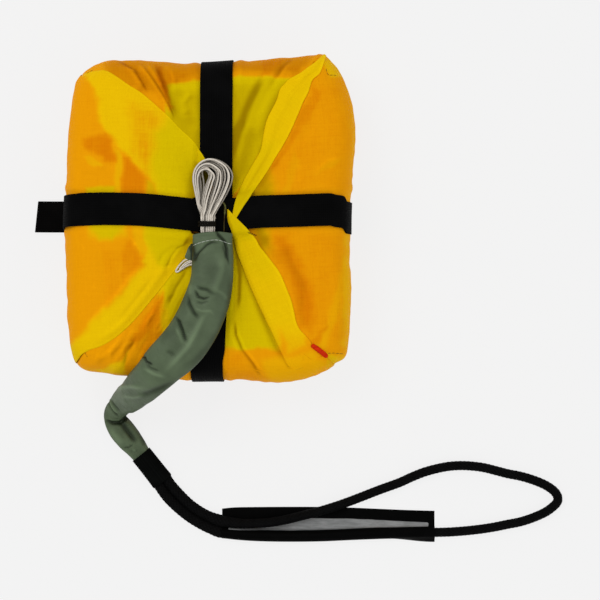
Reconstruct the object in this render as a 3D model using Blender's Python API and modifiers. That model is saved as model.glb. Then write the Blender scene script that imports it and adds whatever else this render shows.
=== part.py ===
"""A packed reserve parachute, ready to go into its harness pocket.

The folded canopy is one filled block with a crown and drawn-in corners, wrapped in four thin
ripstop flaps that meet at the middle of the top. Two elastic straps cross over and under it.
A hank of suspension lines lies on the crossing, held by a rubber band, and runs into a fabric
sleeve that drops over the front edge to the floor. A rope bridle leaves the end of the sleeve.

Metres, +Z up. The origin is on the flat underside, below the point where the straps cross.
Lengths in the tables are millimetres, and angles are degrees counted from +X towards +Y.
"""

from math import atan2, cos, degrees, hypot, pi, radians, sin

import bmesh
import bpy
import numpy as np
from mathutils import Matrix, Vector

MM = 0.001

# Driving dimensions, in millimetres.
SHEET = 1.2            # thickness of a flap
GAP = 0.4              # air between two sheets that lie on each other
WEBBING = 1.5          # thickness of an elastic strap
STRAP_WIDTH = 25.2
WRAP_ALLOWANCE = 2.4   # from the canopy block to the outside of the wrap
LABEL_SHEET = 1.0
ROPE = 7.2             # diameter of the bridle rope
ROPE_STEP = 16.0       # spacing of the points along the rope
HANK_SIDES = 14
SLEEVE_SIDES = 16
BIGHT_SIDES = 10
COVER_SIDES = 12
CURVE_STEPS = 12       # steps between two points of a smooth curve
MIDDLE_HEIGHT = 40.0   # half way up the block

# Heights above the canopy block of the inner face of each layer, counted along its normal.
ROOM = 0.7             # air under a strap, which bridges the dents in what it crosses
SLACK = 0.3            # what a sheet bulges where it lies over the steps below
LIFT_UNDER = 1.0
LIFT_MIDDLE = LIFT_UNDER + SHEET + GAP
LIFT_OVER = LIFT_MIDDLE + SHEET + GAP
LIFT_WALL_STRAP = LIFT_UNDER + SHEET + ROOM
LIFT_LENGTHWAYS = LIFT_MIDDLE + SHEET + ROOM
LIFT_LEFT_TIP = LIFT_LENGTHWAYS + WEBBING + GAP + SLACK
LIFT_ACROSS_LEFT = LIFT_OVER + SHEET + ROOM
LIFT_ACROSS_TIP = LIFT_LEFT_TIP + SHEET + GAP + SLACK
LIFT_ACROSS_RIGHT = LIFT_UNDER + SHEET + ROOM
SHOULDER_SLACK = 2 * SLACK  # more room for the across strap where the left flap turns down

# The outside of the wrap seen from above, at its widest, anticlockwise from the right side.
OUTLINE = (
    (111.5, -12), (112.5, 22), (115.5, 50), (116.5, 72), (114, 90), (108.5, 105), (104, 115),
    (98, 123.5), (90, 130.5), (84, 129.5), (64, 128.3), (42, 126), (18, 123.5), (-8, 122),
    (-26, 123.2), (-55, 126), (-78, 125.3), (-91, 121), (-100, 113.5), (-106.5, 101),
    (-110.5, 80), (-113, 54), (-114, 18), (-115, -9), (-115, -25), (-114, -57), (-112.5, -84),
    (-110, -103), (-104.5, -115), (-98, -120.3), (-85, -123), (-60, -126.5), (-21, -128.3),
    (11, -128.3), (36, -130), (56, -131), (76, -129), (90, -123), (99, -116), (107.5, -108),
    (111, -95), (112.5, -80), (113, -49),
)

# Corner seams of the wrap, as angles on the outline: right back, left back, left front,
# right front.
SEAM_BACK_RIGHT = 55.4
SEAM_BACK_LEFT = 131.6
SEAM_FRONT_LEFT = 227.7
SEAM_FRONT_RIGHT = 310.5
SEAM_GAP = 0.16        # half of the slit between two flaps at a seam, in degrees

# Where the wall columns stand along one side, as shares of the way between its seams.
COLUMNS = (0, 0.04, 0.09, 0.15, 0.24, 0.36, 0.5, 0.64, 0.76, 0.85, 0.91, 0.96, 1)

# The block's side view: share of the outline's radius, and height. Row 0 is the foot of the
# wall, row 2 its widest place, rows 4 to 6 the shoulder and row 10 the middle of the crown.
PROFILE = (
    (0.925, 5.0), (0.975, 16.0), (1.0, 34.0), (0.995, 50.0), (0.965, 63.0), (0.91, 71.5),
    (0.83, 75.5), (0.70, 77.5), (0.50, 78.7), (0.30, 79.2), (0.10, 79.4),
)
FOOT_SHARE = 0.885     # the flat underside reaches this far
LEVELS = (0, 1, 2, 3, 4, 4.5, 5, 5.5, 6, 7, 8, 9, 9.7)
TOP_LEVEL = 10

# Each flap: row of the profile, angle of its first and last edge there, lift of its inner face.
FLAP_RIGHT = (
    (0, SEAM_FRONT_RIGHT + SEAM_GAP, 360 + SEAM_BACK_RIGHT - SEAM_GAP, LIFT_UNDER),
    (4, SEAM_FRONT_RIGHT + SEAM_GAP, 360 + SEAM_BACK_RIGHT - SEAM_GAP, LIFT_UNDER),
    (5, 309.0, 415.0, LIFT_UNDER),
    (6, 306.0, 414.6, LIFT_UNDER),
    (7, 306.5, 413.0, LIFT_UNDER),
    (8, 316.0, 406.0, LIFT_UNDER),
    (9, 333.0, 392.0, LIFT_UNDER),
    (9.3, 340.0, 385.0, LIFT_UNDER),
)
FLAP_BACK = (
    (0, SEAM_BACK_RIGHT + SEAM_GAP, SEAM_BACK_LEFT - SEAM_GAP, LIFT_UNDER),
    (4, SEAM_BACK_RIGHT + SEAM_GAP, SEAM_BACK_LEFT - SEAM_GAP, LIFT_UNDER),
    (5, SEAM_BACK_RIGHT + SEAM_GAP, 131.0, LIFT_UNDER + 0.5),
    (6, 56.5, 128.0, LIFT_MIDDLE),
    (7, 56.0, 123.0, LIFT_MIDDLE),
    (8, 51.0, 112.0, LIFT_MIDDLE),
    (9, 42.0, 98.0, LIFT_MIDDLE),
    (9.7, 40.0, 95.0, LIFT_MIDDLE),
)
FLAP_FRONT = (
    (0, SEAM_FRONT_LEFT + SEAM_GAP, SEAM_FRONT_RIGHT - SEAM_GAP, LIFT_UNDER),
    (4, SEAM_FRONT_LEFT + SEAM_GAP, SEAM_FRONT_RIGHT - SEAM_GAP, LIFT_UNDER),
    (5, 227.5, 305.0, LIFT_UNDER + 0.5),
    (6, 223.5, 302.0, LIFT_MIDDLE),
    (7, 226.0, 302.0, LIFT_MIDDLE),
    (8, 229.0, 308.0, LIFT_MIDDLE),
    (9, 231.0, 318.0, LIFT_MIDDLE),
    (9.7, 235.0, 320.0, LIFT_MIDDLE),
)
FLAP_LEFT = (
    (0, SEAM_BACK_LEFT + SEAM_GAP, SEAM_FRONT_LEFT - SEAM_GAP, LIFT_UNDER),
    (3, SEAM_BACK_LEFT + SEAM_GAP, SEAM_FRONT_LEFT - SEAM_GAP, LIFT_UNDER),
    (4, SEAM_BACK_LEFT, SEAM_FRONT_LEFT, LIFT_UNDER + 1.4),
    (5, 124.5, 228.0, LIFT_OVER + 1.0),
    (6, 121.5, 230.2, LIFT_OVER + 0.4),
    (7, 115.5, 234.0, LIFT_OVER),
    (8, 103.0, 236.3, LIFT_LEFT_TIP - 0.4),
    (8.4, 96.0, 237.0, LIFT_LEFT_TIP),
    (9, 84.0, 239.5, LIFT_LEFT_TIP),
    (9.7, 60.0, 250.0, LIFT_LEFT_TIP),
)

# The doubled, turned-over edges of the back and front flaps: left edge x, y, right edge x, y
# and lift, from the corner of the block to the middle.
FOLD_BACK = (
    (88.5, 126.5, 90.2, 125.0, 3.4), (85.5, 122.0, 87.5, 115.5, 4.4), (78, 115, 84, 109, 4.8),
    (68, 109, 79, 99, 4.6), (58, 100.5, 75, 90.5, 4.5), (53, 89, 70, 79, 4.5),
    (48, 78, 65, 67, 4.5), (44, 64, 59, 56, 4.5), (41.5, 51, 52.5, 45.5, 5.0),
    (35.5, 40, 45.5, 33.5, 5.4), (29.5, 29, 38, 22.5, 6.8), (24, 17, 30.5, 11.5, 8.2),
    (20.6, 3.6, 23.6, 0.4, 9.1),
)
FOLD_FRONT = (
    (63.5, -119.5, 90, -107, 4.8), (59.5, -110, 83, -103, 5.0), (55, -100, 79.5, -96.5, 4.7),
    (50, -90, 71.5, -88, 4.5), (45, -79.5, 68, -78, 4.5), (39.5, -68, 65.5, -67, 4.5),
    (35, -57.5, 61.5, -56, 4.5), (31, -48, 56, -43.5, 4.5), (27, -38, 49, -34, 4.5),
    (23.8, -29, 42.5, -26, 5.2), (21, -20, 36, -15.5, 7.2), (18, -10, 28.5, -7.5, 9.2),
    (16, -2, 22, -1.6, 9.6), (15.9, 2.5, 17.6, 2.9, 9.7),
)

# Course of the strap that runs front to back: y, x of its middle.
LENGTHWAYS_COURSE = (
    (-130, -0.8), (-105, 0.8), (-84, 1.9), (-40, 5.0), (5, 7.0), (50, 6.9), (130, 6.9),
)
LENGTHWAYS_BOTTOM = ((-112, -0.6), (110, 6.6))  # its straight run under the block: y, x

# Course of the strap that runs left to right: x, y of its middle, lift of its inner face.
ACROSS_COURSE = (
    (-100, 5.2, LIFT_ACROSS_LEFT), (-80, 5.9, LIFT_ACROSS_LEFT), (-55, 5.3, LIFT_ACROSS_TIP - 0.4),
    (-38, 4.0, LIFT_ACROSS_TIP), (-8, 0.7, LIFT_ACROSS_TIP), (10, 0.5, LIFT_ACROSS_TIP),
    (16, 1.1, 7.6), (20, 1.4, 6.8), (25, 2.0, 5.4), (30, 2.6, 4.2), (40, 3.6, 3.0),
    (70, 4.5, LIFT_ACROSS_RIGHT), (95, 5.5, LIFT_ACROSS_RIGHT),
)
ACROSS_TOP_X = (-92, -80, -66, -52, -38, -25, -12, 0, 10, 16, 20, 25, 30, 35, 40, 52, 66, 80, 92)
LENGTHWAYS_TOP_Y = (104, 90, 75, 60, 45, 30, 15, 0, -15, -30, -45, -60, -75, -90, -104)
WALL_LEVELS = (0, 1, 2, 3, 4, 4.5, 5, 5.5)
BOTTOM_CHANNEL = 2.6   # depth of the channels that the straps press into the underside
CHANNEL_MARGIN = 1.0   # room beside a strap in its channel
CHANNEL_LENGTH = 300.0
BOTTOM_Y = 1.5         # middle of the across strap under the block
ACROSS_RIGHT_Y = (1.5, 0.55)  # its middle up the right wall: y at the foot, and per row
ACROSS_LEFT_Y = (1.8, 0.6)    # the same up the left wall
TAIL_END = ((-141.7, 14.1), (-142.3, 1.8), (-142.9, -10.4))  # the strap's loose end, on the floor
STRAP_ENDS_MEET = -45.0  # y where the ends of the lengthways strap meet, underneath
CROSSING_TOP = 2 * WEBBING + GAP  # top of the across strap where it passes over the other one
CROSSING_REACH = (-20, -13, 21, 28)  # x where it leaves the floor, is up, starts down, is down

# Stations of the sleeve: x, y, height of its middle, width, thickness.
SLEEVE = (
    (4.5, -12.4, 93.4, 30, 7), (4.5, -17, 93.4, 31, 9), (4.5, -24, 94.0, 31.5, 12.5),
    (4.6, -36.5, 94.6, 32.7, 17), (4.0, -50, 94.7, 33.5, 18), (-0.5, -67, 94.6, 36.5, 18),
    (-10.5, -89, 94.2, 37, 18), (-23, -105, 92.8, 36.5, 17.5), (-35, -116.5, 90.0, 33.5, 16.5),
    (-44.5, -126, 82.5, 30, 15.5), (-53, -134, 68, 28, 14.5), (-60.5, -140.5, 50, 25, 14),
    (-67, -145, 33, 23, 13.5), (-72.5, -149.6, 19.5, 20.5, 12.5), (-77, -156, 10.8, 19, 12.5),
    (-76.5, -162.5, 7.9, 19.5, 12.5), (-72.5, -169, 7.3, 21, 12), (-66, -177.5, 6.7, 20.5, 11.5),
    (-61, -183.5, 6.0, 18.5, 10.5), (-57.0, -188.9, 5.4, 16.6, 9.6),
)

# Stations of the webbing cover over the rope's ends: x, y, height, width, thickness.
COVER = (
    (-56.4, -189.7, 5.2, 17.4, 9.6), (-51.5, -195.8, 4.9, 17.4, 9.2),
    (-44.5, -204.7, 4.8, 17.6, 9.0), (-38.6, -212.2, 4.8, 18.2, 9.0),
)

# Stations of the line hank, from its loop to the neck inside the sleeve's mouth:
# y, x, height of its middle, width, thickness.
HANK = (
    (44.6, 5.2, 91.6, 10, 6.0), (42.5, 5.3, 92.2, 20, 9.0), (38.0, 5.2, 93.2, 26.5, 11.0),
    (31.0, 4.9, 94.6, 31.0, 13.0), (23.0, 4.4, 95.7, 30.4, 13.4), (13.0, 3.5, 96.2, 24.0, 13.0),
    (5.0, 2.2, 96.1, 16.6, 11.4), (-0.5, 1.2, 95.5, 12.6, 9.0), (-3.0, 1.2, 95.3, 11.2, 8.0),
    (-9.0, 1.2, 95.3, 11.2, 8.0), (-11.4, 1.2, 95.3, 13.2, 7.0),
)
BAND_Y = (-3.9, -8.1)  # from and to, along the neck of the hank
BAND_INNER = (12.0, 8.8)
BAND_SHEET = 1.0
BAND_CENTRE = (1.2, 95.3)

# The loop of lines that comes out beside the sleeve: x, y, height, width, thickness.
LINE_BIGHT = (
    (-25.2, -43.2, 87.7, 2.4, 1.8), (-22.5, -41.2, 88.3, 5.0, 3.2),
    (-18.0, -38.0, 88.9, 6.6, 4.0), (-14.2, -35.0, 89.4, 7.0, 4.2),
)

# Thin loop that closes the wrap, beside the hank: x, y.
CLOSING_LOOP = ((14.5, 12.0), (15.0, 8.0), (14.3, 3.0), (13.8, -3.0), (13.8, -9.5))
CLOSING_CORD = 1.2

CLOSING_ROOM = 0.6     # between the loop and the strap below it

# Red pull tab: x, y of its middle at both ends.
TAB_ENDS = ((82.8, -100.6), (94.6, -109.8))
TAB_WIDTH = 3.4
TAB_SHEET = 1.0
TAB_LIFT = LIFT_UNDER + SHEET + CLOSING_ROOM

# The rope's route: x, y and the height of its underside above the floor.
LABEL_CLEAR = LABEL_SHEET + 2 * SLACK
ROPE_ROUTE = (
    (-35.1, -210.2, 0.8), (-31.2, -215.0, 0.3), (-26.0, -220.6, 0), (-18.0, -228.6, 0),
    (-9.5, -235.0, 0), (-1.2, -239.4, 0.3), (8.4, -243.0, LABEL_CLEAR),
    (20.0, -245.0, LABEL_CLEAR), (32.0, -245.6, LABEL_CLEAR), (46.0, -244.9, LABEL_CLEAR),
    (60.0, -242.6, LABEL_CLEAR), (74.0, -239.2, LABEL_CLEAR), (88.0, -235.6, LABEL_CLEAR),
    (104.0, -230.6, LABEL_CLEAR), (120.0, -224.8, 0.4), (136.0, -218.6, 0),
    (152.0, -212.6, 0), (162.0, -207.9, 0), (172.0, -203.6, 0), (184.0, -200.3, 0),
    (201.0, -198.4, 0), (218.0, -199.6, 0), (236.0, -203.6, 0), (254.0, -208.2, 0),
    (268.0, -213.4, 0), (277.0, -220.8, 0), (279.8, -228.3, 0), (275.5, -234.6, 0),
    (264.0, -239.8, 0), (248.0, -244.2, 0), (228.0, -248.2, 0), (208.0, -250.9, 0),
    (190.0, -252.6, 0), (172.0, -253.0, 0), (152.0, -253.2, 0), (132.0, -253.8, 0),
    (112.0, -254.6, 0), (90.0, -255.6, 0), (68.0, -255.9, 0), (46.0, -255.7, 0),
    (28.0, -254.9, 0), (10.0, -252.9, 0), (0.0, -249.6, 0), (-8.0, -245.7, 0),
    (-17.5, -239.6, 0), (-26.0, -232.6, 0), (-34.0, -224.6, 0.1), (-38.5, -219.2, 0.3),
    (-41.6, -215.3, 0.8),
)

# The label lies flat under the rope's upper leg and laps over the lower one: x, y of its back
# edge.
LABEL_RISE = 0.8       # where the film leaves the floor, behind the rope's lower leg
LABEL_FOOT = 0.6       # height of its front edge
LABEL_EDGE = (
    (8.9, -233.9), (20, -232.9), (40, -232.6), (60, -232.5), (80, -232.5), (100, -232.7),
    (120, -233.4), (140, -234.3), (160, -235.1), (180.9, -235.7),
)


def spline(points, steps, closed=False):
    """Points along a smooth curve through all the given ones."""
    rows = np.array(points, dtype=float)
    count = len(rows)
    curve = []
    for i in range(count if closed else count - 1):
        if closed:
            before, start, end, after = (rows[(i + n) % count] for n in (-1, 0, 1, 2))
        else:
            before, start, end, after = (rows[min(max(i + n, 0), count - 1)] for n in (-1, 0, 1, 2))
        for t in np.arange(steps) / steps:
            curve.append(0.5 * (2 * start + (end - before) * t
                                + (2 * before - 5 * start + 4 * end - after) * t ** 2
                                + (3 * start - before - 3 * end + after) * t ** 3))
    if not closed:
        curve.append(rows[-1])
    return np.array(curve)


def outline_table():
    """The outline as sorted angles and radii."""
    curve = spline(OUTLINE, CURVE_STEPS, closed=True)
    angles = np.degrees(np.arctan2(curve[:, 1], curve[:, 0])) % 360
    radii = np.hypot(curve[:, 0], curve[:, 1]) - WRAP_ALLOWANCE
    order = np.argsort(angles)
    return angles[order], radii[order]


OUTLINE_ANGLES, OUTLINE_RADII = outline_table()
PROFILE_STEPS = 10
PROFILE_CURVE = spline(PROFILE, PROFILE_STEPS)


def block_radius(angle):
    """Radius of the canopy block at its widest, in millimetres."""
    return np.interp(angle % 360, OUTLINE_ANGLES, OUTLINE_RADII, period=360)


def profile_at(level):
    """Share of the radius, and height, at a row of the profile."""
    index = np.arange(len(PROFILE_CURVE)) / PROFILE_STEPS
    return np.array([np.interp(level, index, PROFILE_CURVE[:, column]) for column in (0, 1)])


def level_at(share):
    """Row of the profile, from the shoulder inwards, that has this share of the radius."""
    first = 2 * PROFILE_STEPS
    shares = PROFILE_CURVE[first:, 0]
    levels = np.arange(first, len(PROFILE_CURVE)) / PROFILE_STEPS
    return np.interp(-share, -shares, levels)


def wrap_point(angle, level, lift):
    """Point at a lift above the block, from an angle and a row of the profile."""
    radius = block_radius(angle)
    share, height = profile_at(level)
    low = profile_at(max(level - 0.1, 0))
    high = profile_at(min(level + 0.1, TOP_LEVEL))
    run = (high[0] - low[0]) * radius
    rise = high[1] - low[1]
    slope = hypot(run, rise)
    reach = share * radius + lift * rise / slope
    turn = radians(angle)
    return Vector((reach * cos(turn), reach * sin(turn), height - lift * run / slope)) * MM


def drape(x, y, lift):
    """Point at a lift above the block, from its place in plan."""
    angle = degrees(atan2(y, x)) % 360
    share = hypot(x, y) / block_radius(angle)
    return wrap_point(angle, level_at(share), lift)


def principled(name, colour, roughness, metallic=0.0):
    """A plain material in one finish."""
    material = bpy.data.materials.new(name)
    material.use_nodes = True
    shader = material.node_tree.nodes["Principled BSDF"]
    shader.inputs["Base Color"].default_value = (*colour, 1)
    shader.inputs["Roughness"].default_value = roughness
    shader.inputs["Metallic"].default_value = metallic
    return material


def add_object(name, mesh_data, collection, material, sharp_angle=40):
    """Put a mesh or curve into the collection under its part's name."""
    part = bpy.data.objects.new(name, mesh_data)
    collection.objects.link(part)
    part.data.materials.append(material)
    if part.type == "MESH":
        part.data.shade_smooth()
        part.data.set_sharp_from_angle(angle=radians(sharp_angle))
    return part


def add_sheet(name, rows, outward, thickness, collection, material):
    """A sheet of even thickness whose inner face passes through rows of points."""
    across = len(rows[0])
    shape = bmesh.new()
    bmesh.ops.create_grid(shape, x_segments=across - 1, y_segments=len(rows) - 1, size=1)
    shape.verts.ensure_lookup_table()
    for index, vertex in enumerate(shape.verts):
        vertex.co = rows[index // across][index % across]
    shape.faces.ensure_lookup_table()
    shape.normal_update()
    middle = shape.faces[len(shape.faces) // 2]
    if middle.normal.dot(outward(middle.calc_center_median())) < 0:
        bmesh.ops.reverse_faces(shape, faces=shape.faces)
    mesh = bpy.data.meshes.new(name)
    shape.to_mesh(mesh)
    shape.free()
    part = add_object(name, mesh, collection, material)
    solid = part.modifiers.new("Thickness", "SOLIDIFY")
    solid.thickness = thickness * MM
    solid.offset = 1
    return part


def add_loft(name, sections, collection, material):
    """A closed solid through rings of points that change shape along the way."""
    shape = bmesh.new()
    rings = [[shape.verts.new(point) for point in section] for section in sections]
    sides = len(rings[0])
    for ring, after in zip(rings, rings[1:]):
        for i in range(sides):
            j = (i + 1) % sides
            shape.faces.new((ring[i], ring[j], after[j], after[i]))
    shape.faces.new(reversed(rings[0]))
    shape.faces.new(rings[-1])
    bmesh.ops.recalc_face_normals(shape, faces=shape.faces)
    mesh = bpy.data.meshes.new(name)
    shape.to_mesh(mesh)
    shape.free()
    return add_object(name, mesh, collection, material)


def away_from_middle(point):
    """Outward direction of the wrap, near a point of it."""
    return point - Vector((0, 0, MIDDLE_HEIGHT * MM))


def canopy_block(collection, cutters, material):
    """The folded canopy: a filled block from a sphere's rings, with strap channels below."""
    sides = (
        (SEAM_FRONT_RIGHT, 360 + SEAM_BACK_RIGHT), (SEAM_BACK_RIGHT, SEAM_BACK_LEFT),
        (SEAM_BACK_LEFT, SEAM_FRONT_LEFT), (SEAM_FRONT_LEFT, SEAM_FRONT_RIGHT),
    )
    angles = [start + share * (end - start) for start, end in sides for share in COLUMNS[:-1]]
    foot_rows = ((0.45, 0.0), (FOOT_SHARE, 0.0))
    shape = bmesh.new()
    bmesh.ops.create_uvsphere(
        shape, u_segments=len(angles), v_segments=len(foot_rows) + len(LEVELS) + 1, radius=1)
    heights = sorted({round(vertex.co.z, 4) for vertex in shape.verts})
    turn = 360 / len(angles)
    for vertex in shape.verts:
        row = heights.index(round(vertex.co.z, 4))
        column = round((degrees(atan2(vertex.co.y, vertex.co.x)) % 360) / turn) % len(angles)
        angle = angles[column]
        if row == 0:
            vertex.co = (0, 0, 0)
        elif row == len(heights) - 1:
            vertex.co = (0, 0, profile_at(TOP_LEVEL)[1] * MM)
        elif row <= len(foot_rows):
            share, height = foot_rows[row - 1]
            reach = share * block_radius(angle)
            vertex.co = Vector((reach * cos(radians(angle)), reach * sin(radians(angle)), height)) * MM
        else:
            vertex.co = wrap_point(angle, LEVELS[row - 1 - len(foot_rows)], 0)
    bmesh.ops.recalc_face_normals(shape, faces=shape.faces)
    mesh = bpy.data.meshes.new("canopy_block")
    shape.to_mesh(mesh)
    shape.free()
    block = add_object("canopy_block", mesh, collection, material)
    (front_y, front_x), (back_y, back_x) = LENGTHWAYS_BOTTOM
    lean = atan2(back_x - front_x, back_y - front_y)
    width = STRAP_WIDTH + 2 * CHANNEL_MARGIN
    crossing_depth = CROSSING_TOP + ROOM
    crossing_start, crossing_end = CROSSING_REACH[0], CROSSING_REACH[-1]
    channels = (
        ("channel_lengthways", ((front_x + back_x) / 2, (front_y + back_y) / 2),
         (width, CHANNEL_LENGTH, 2 * BOTTOM_CHANNEL), -lean),
        ("channel_across", (0, BOTTOM_Y), (CHANNEL_LENGTH, width, 2 * BOTTOM_CHANNEL), 0),
        ("channel_crossing", ((crossing_start + crossing_end) / 2, BOTTOM_Y),
         (crossing_end - crossing_start, width, 2 * crossing_depth), 0),
    )
    for name, (x, y), size, turn_z in channels:
        box = bmesh.new()
        bmesh.ops.create_cube(box, size=1, matrix=Matrix.Diagonal((*[s * MM for s in size], 1)))
        box_mesh = bpy.data.meshes.new(name)
        box.to_mesh(box_mesh)
        box.free()
        cutter = bpy.data.objects.new(name, box_mesh)
        cutters.objects.link(cutter)
        cutter.location = (x * MM, y * MM, 0)
        cutter.rotation_euler = (0, 0, turn_z)
        cutter.hide_render = True
        cutter.display_type = "WIRE"
        cut = block.modifiers.new(name, "BOOLEAN")
        cut.operation = "DIFFERENCE"
        cut.solver = "EXACT"
        cut.object = cutter
    return block


def flap(name, table, collection, material):
    """One flap of the wrap, from the foot of the wall over the shoulder to the middle."""
    keys = [row[0] for row in table]
    levels = [level for level in LEVELS if level <= keys[-1]]
    if levels[-1] < keys[-1]:
        levels.append(keys[-1])
    rows = []
    for level in levels:
        first, last, lift = (np.interp(level, keys, [row[n] for row in table]) for n in (1, 2, 3))
        rows.append([wrap_point(first + share * (last - first), level, lift) for share in COLUMNS])
    return add_sheet(name, rows, away_from_middle, SHEET, collection, material)


def turned_edge(name, table, collection, material):
    """The doubled edge of a flap, a long strip from the corner to the middle."""
    shares = (0, 0.2, 0.5, 0.8, 1)
    rows = []
    for left_x, left_y, right_x, right_y, lift in table:
        rows.append([drape(left_x + share * (right_x - left_x),
                           left_y + share * (right_y - left_y), lift) for share in shares])
    return add_sheet(name, rows, away_from_middle, SHEET, collection, material)


def wall_row(level, lift, middle, towards, lengthways):
    """Three points across a strap on a wall, at one row of the profile."""
    row = []
    for share in (-0.5, 0, 0.5):
        offset = middle + share * STRAP_WIDTH
        angle = {(True, 1): 90, (True, -1): 270, (False, 1): 0, (False, -1): 180}[lengthways, towards]
        for _ in range(6):  # closes in on the angle at which the wall has this offset
            reach = hypot(*wrap_point(angle, level, lift).to_2d()) / MM
            lean = degrees(np.arcsin(offset / reach))
            if lengthways:
                angle = 90 - lean if towards > 0 else 270 + lean
            else:
                angle = lean if towards > 0 else 180 - lean
        row.append(wrap_point(angle, level, lift))
    return row


def flat_row(x, y, height, lengthways):
    """Three points across a strap that lies level."""
    row = []
    for share in (-0.5, 0, 0.5):
        offset = share * STRAP_WIDTH
        place = (x + offset, y, height) if lengthways else (x, y + offset, height)
        row.append(Vector(place) * MM)
    return row


def strap_lengthways(collection, material):
    """The strap from front to back: one loop whose ends meet under the block."""
    ys, xs = zip(*LENGTHWAYS_COURSE)
    bottom_ys, bottom_xs = zip(*LENGTHWAYS_BOTTOM)
    rows = [flat_row(np.interp(y, bottom_ys, bottom_xs), y, WEBBING, True)
            for y in (STRAP_ENDS_MEET + 1, 20, 60, bottom_ys[1])]
    back = [wall_row(level, wall_lift(level), xs[-1], 1, True) for level in WALL_LEVELS]
    top = []
    for y in LENGTHWAYS_TOP_Y:
        middle = np.interp(y, ys, xs)
        top.append([drape(middle + share * STRAP_WIDTH, y, LIFT_LENGTHWAYS)
                    for share in (-0.5, 0, 0.5)])
    front = [wall_row(level, wall_lift(level), xs[0], -1, True) for level in WALL_LEVELS]
    rows += back + top + front[::-1]
    rows += [flat_row(np.interp(y, bottom_ys, bottom_xs), y, WEBBING, True)
             for y in (bottom_ys[0], -80, STRAP_ENDS_MEET)]
    return add_sheet("strap_lengthways", rows, away_from_middle, WEBBING, collection, material)


def wall_lift(level):
    """Lift of the lengthways strap on the way up a wall to the top."""
    return float(np.interp(level, (3, 5), (LIFT_WALL_STRAP, LIFT_LENGTHWAYS)))


def across_lift(level, towards):
    """Lift of the across strap on the way up a wall: the left flap lies higher than the right."""
    highest = LIFT_ACROSS_LEFT + SHOULDER_SLACK if towards < 0 else LIFT_WALL_STRAP
    return float(np.interp(level, (3, 5), (LIFT_WALL_STRAP, highest)))


def strap_across(collection, material):
    """The strap from left to right, with its loose end on the floor at the left."""
    xs, ys, lifts = zip(*ACROSS_COURSE)
    rows = [[Vector((x, y, WEBBING)) * MM for x, y in reversed(TAIL_END)]]
    leaves, up, starts_down, lands = CROSSING_REACH
    bottom = (
        (-122, WEBBING), (-104, WEBBING), (-60, WEBBING), (leaves, WEBBING), (up, CROSSING_TOP),
        (starts_down, CROSSING_TOP), (lands, WEBBING), (60, WEBBING), (99, WEBBING),
    )
    rows += [flat_row(x, BOTTOM_Y, height, False) for x, height in bottom]
    right_start, right_rise = ACROSS_RIGHT_Y
    right = [wall_row(level, across_lift(level, 1), right_start + right_rise * level, 1, False)
             for level in WALL_LEVELS]
    top = []
    for x in reversed(ACROSS_TOP_X):
        middle, lift = np.interp(x, xs, ys), np.interp(x, xs, lifts)
        top.append([drape(x, middle + share * STRAP_WIDTH, lift) for share in (-0.5, 0, 0.5)])
    left_start, left_rise = ACROSS_LEFT_Y
    left = [wall_row(level, across_lift(level, -1), left_start + left_rise * level, -1, False)
            for level in WALL_LEVELS]
    rows += right + top + left[::-1]
    return add_sheet("strap_across", rows, away_from_middle, WEBBING, collection, material)


def ring_section(centre, wide, high, width, thickness, sides, squareness=2.4):
    """A rounded, slightly square ring of points about a centre."""
    ring = []
    for i in range(sides):
        turn = 2 * pi * (i + 0.5) / sides
        along = abs(cos(turn)) ** (2 / squareness) * (1 if cos(turn) > 0 else -1)
        up = abs(sin(turn)) ** (2 / squareness) * (1 if sin(turn) > 0 else -1)
        ring.append((centre + wide * along * width / 2 + high * up * thickness / 2) * MM)
    return ring


def lofted_tube(name, stations, sides, collection, material):
    """A filled tube through stations of x, y, height, width and thickness."""
    sections = []
    count = len(stations)
    for i, (x, y, height, width, thickness) in enumerate(stations):
        ahead = Vector(stations[min(i + 1, count - 1)][:3])
        behind = Vector(stations[max(i - 1, 0)][:3])
        along = (ahead - behind).normalized()
        wide = Vector((-along.y, along.x, 0)).normalized()
        high = wide.cross(along).normalized()
        if high.z < 0:
            high = -high
        sections.append(ring_section(Vector((x, y, height)), wide, high, width, thickness, sides))
    return add_loft(name, sections, collection, material)


def line_hank(collection, material):
    """The suspension lines, one solid from the loops' end to the neck in the sleeve."""
    stations = [(x, y, height, width, thickness) for y, x, height, width, thickness in HANK]
    return lofted_tube("line_hank", stations, HANK_SIDES, collection, material)


def rubber_band(collection, material):
    """A flat band round the neck of the hank."""
    rows = []
    x, height = BAND_CENTRE
    for y in BAND_Y:
        ring = ring_section(Vector((x, y, height)), Vector((1, 0, 0)), Vector((0, 0, 1)),
                            *BAND_INNER, HANK_SIDES)
        rows.append(ring)
    shape = bmesh.new()
    verts = [[shape.verts.new(point) for point in ring] for ring in rows]
    for i in range(HANK_SIDES):
        j = (i + 1) % HANK_SIDES
        shape.faces.new((verts[0][i], verts[0][j], verts[1][j], verts[1][i]))
    shape.normal_update()
    first = shape.faces[:][0]
    centre = Vector((x, sum(BAND_Y) / 2, height)) * MM
    if first.normal.dot(first.calc_center_median() - centre) < 0:
        bmesh.ops.reverse_faces(shape, faces=shape.faces)
    mesh = bpy.data.meshes.new("rubber_band")
    shape.to_mesh(mesh)
    shape.free()
    band = add_object("rubber_band", mesh, collection, material)
    solid = band.modifiers.new("Thickness", "SOLIDIFY")
    solid.thickness = BAND_SHEET * MM
    solid.offset = 1
    return band


def add_cord(name, points, diameter, resolution, collection, material):
    """A round cord along a list of points."""
    curve = bpy.data.curves.new(name, "CURVE")
    curve.dimensions = "3D"
    curve.bevel_depth = diameter / 2 * MM
    curve.bevel_resolution = resolution
    curve.use_fill_caps = True
    line = curve.splines.new("POLY")
    line.points.add(len(points) - 1)
    for place, point in zip(line.points, points):
        place.co = (*[value * MM for value in point], 1)
    return add_object(name, curve, collection, material)


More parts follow.
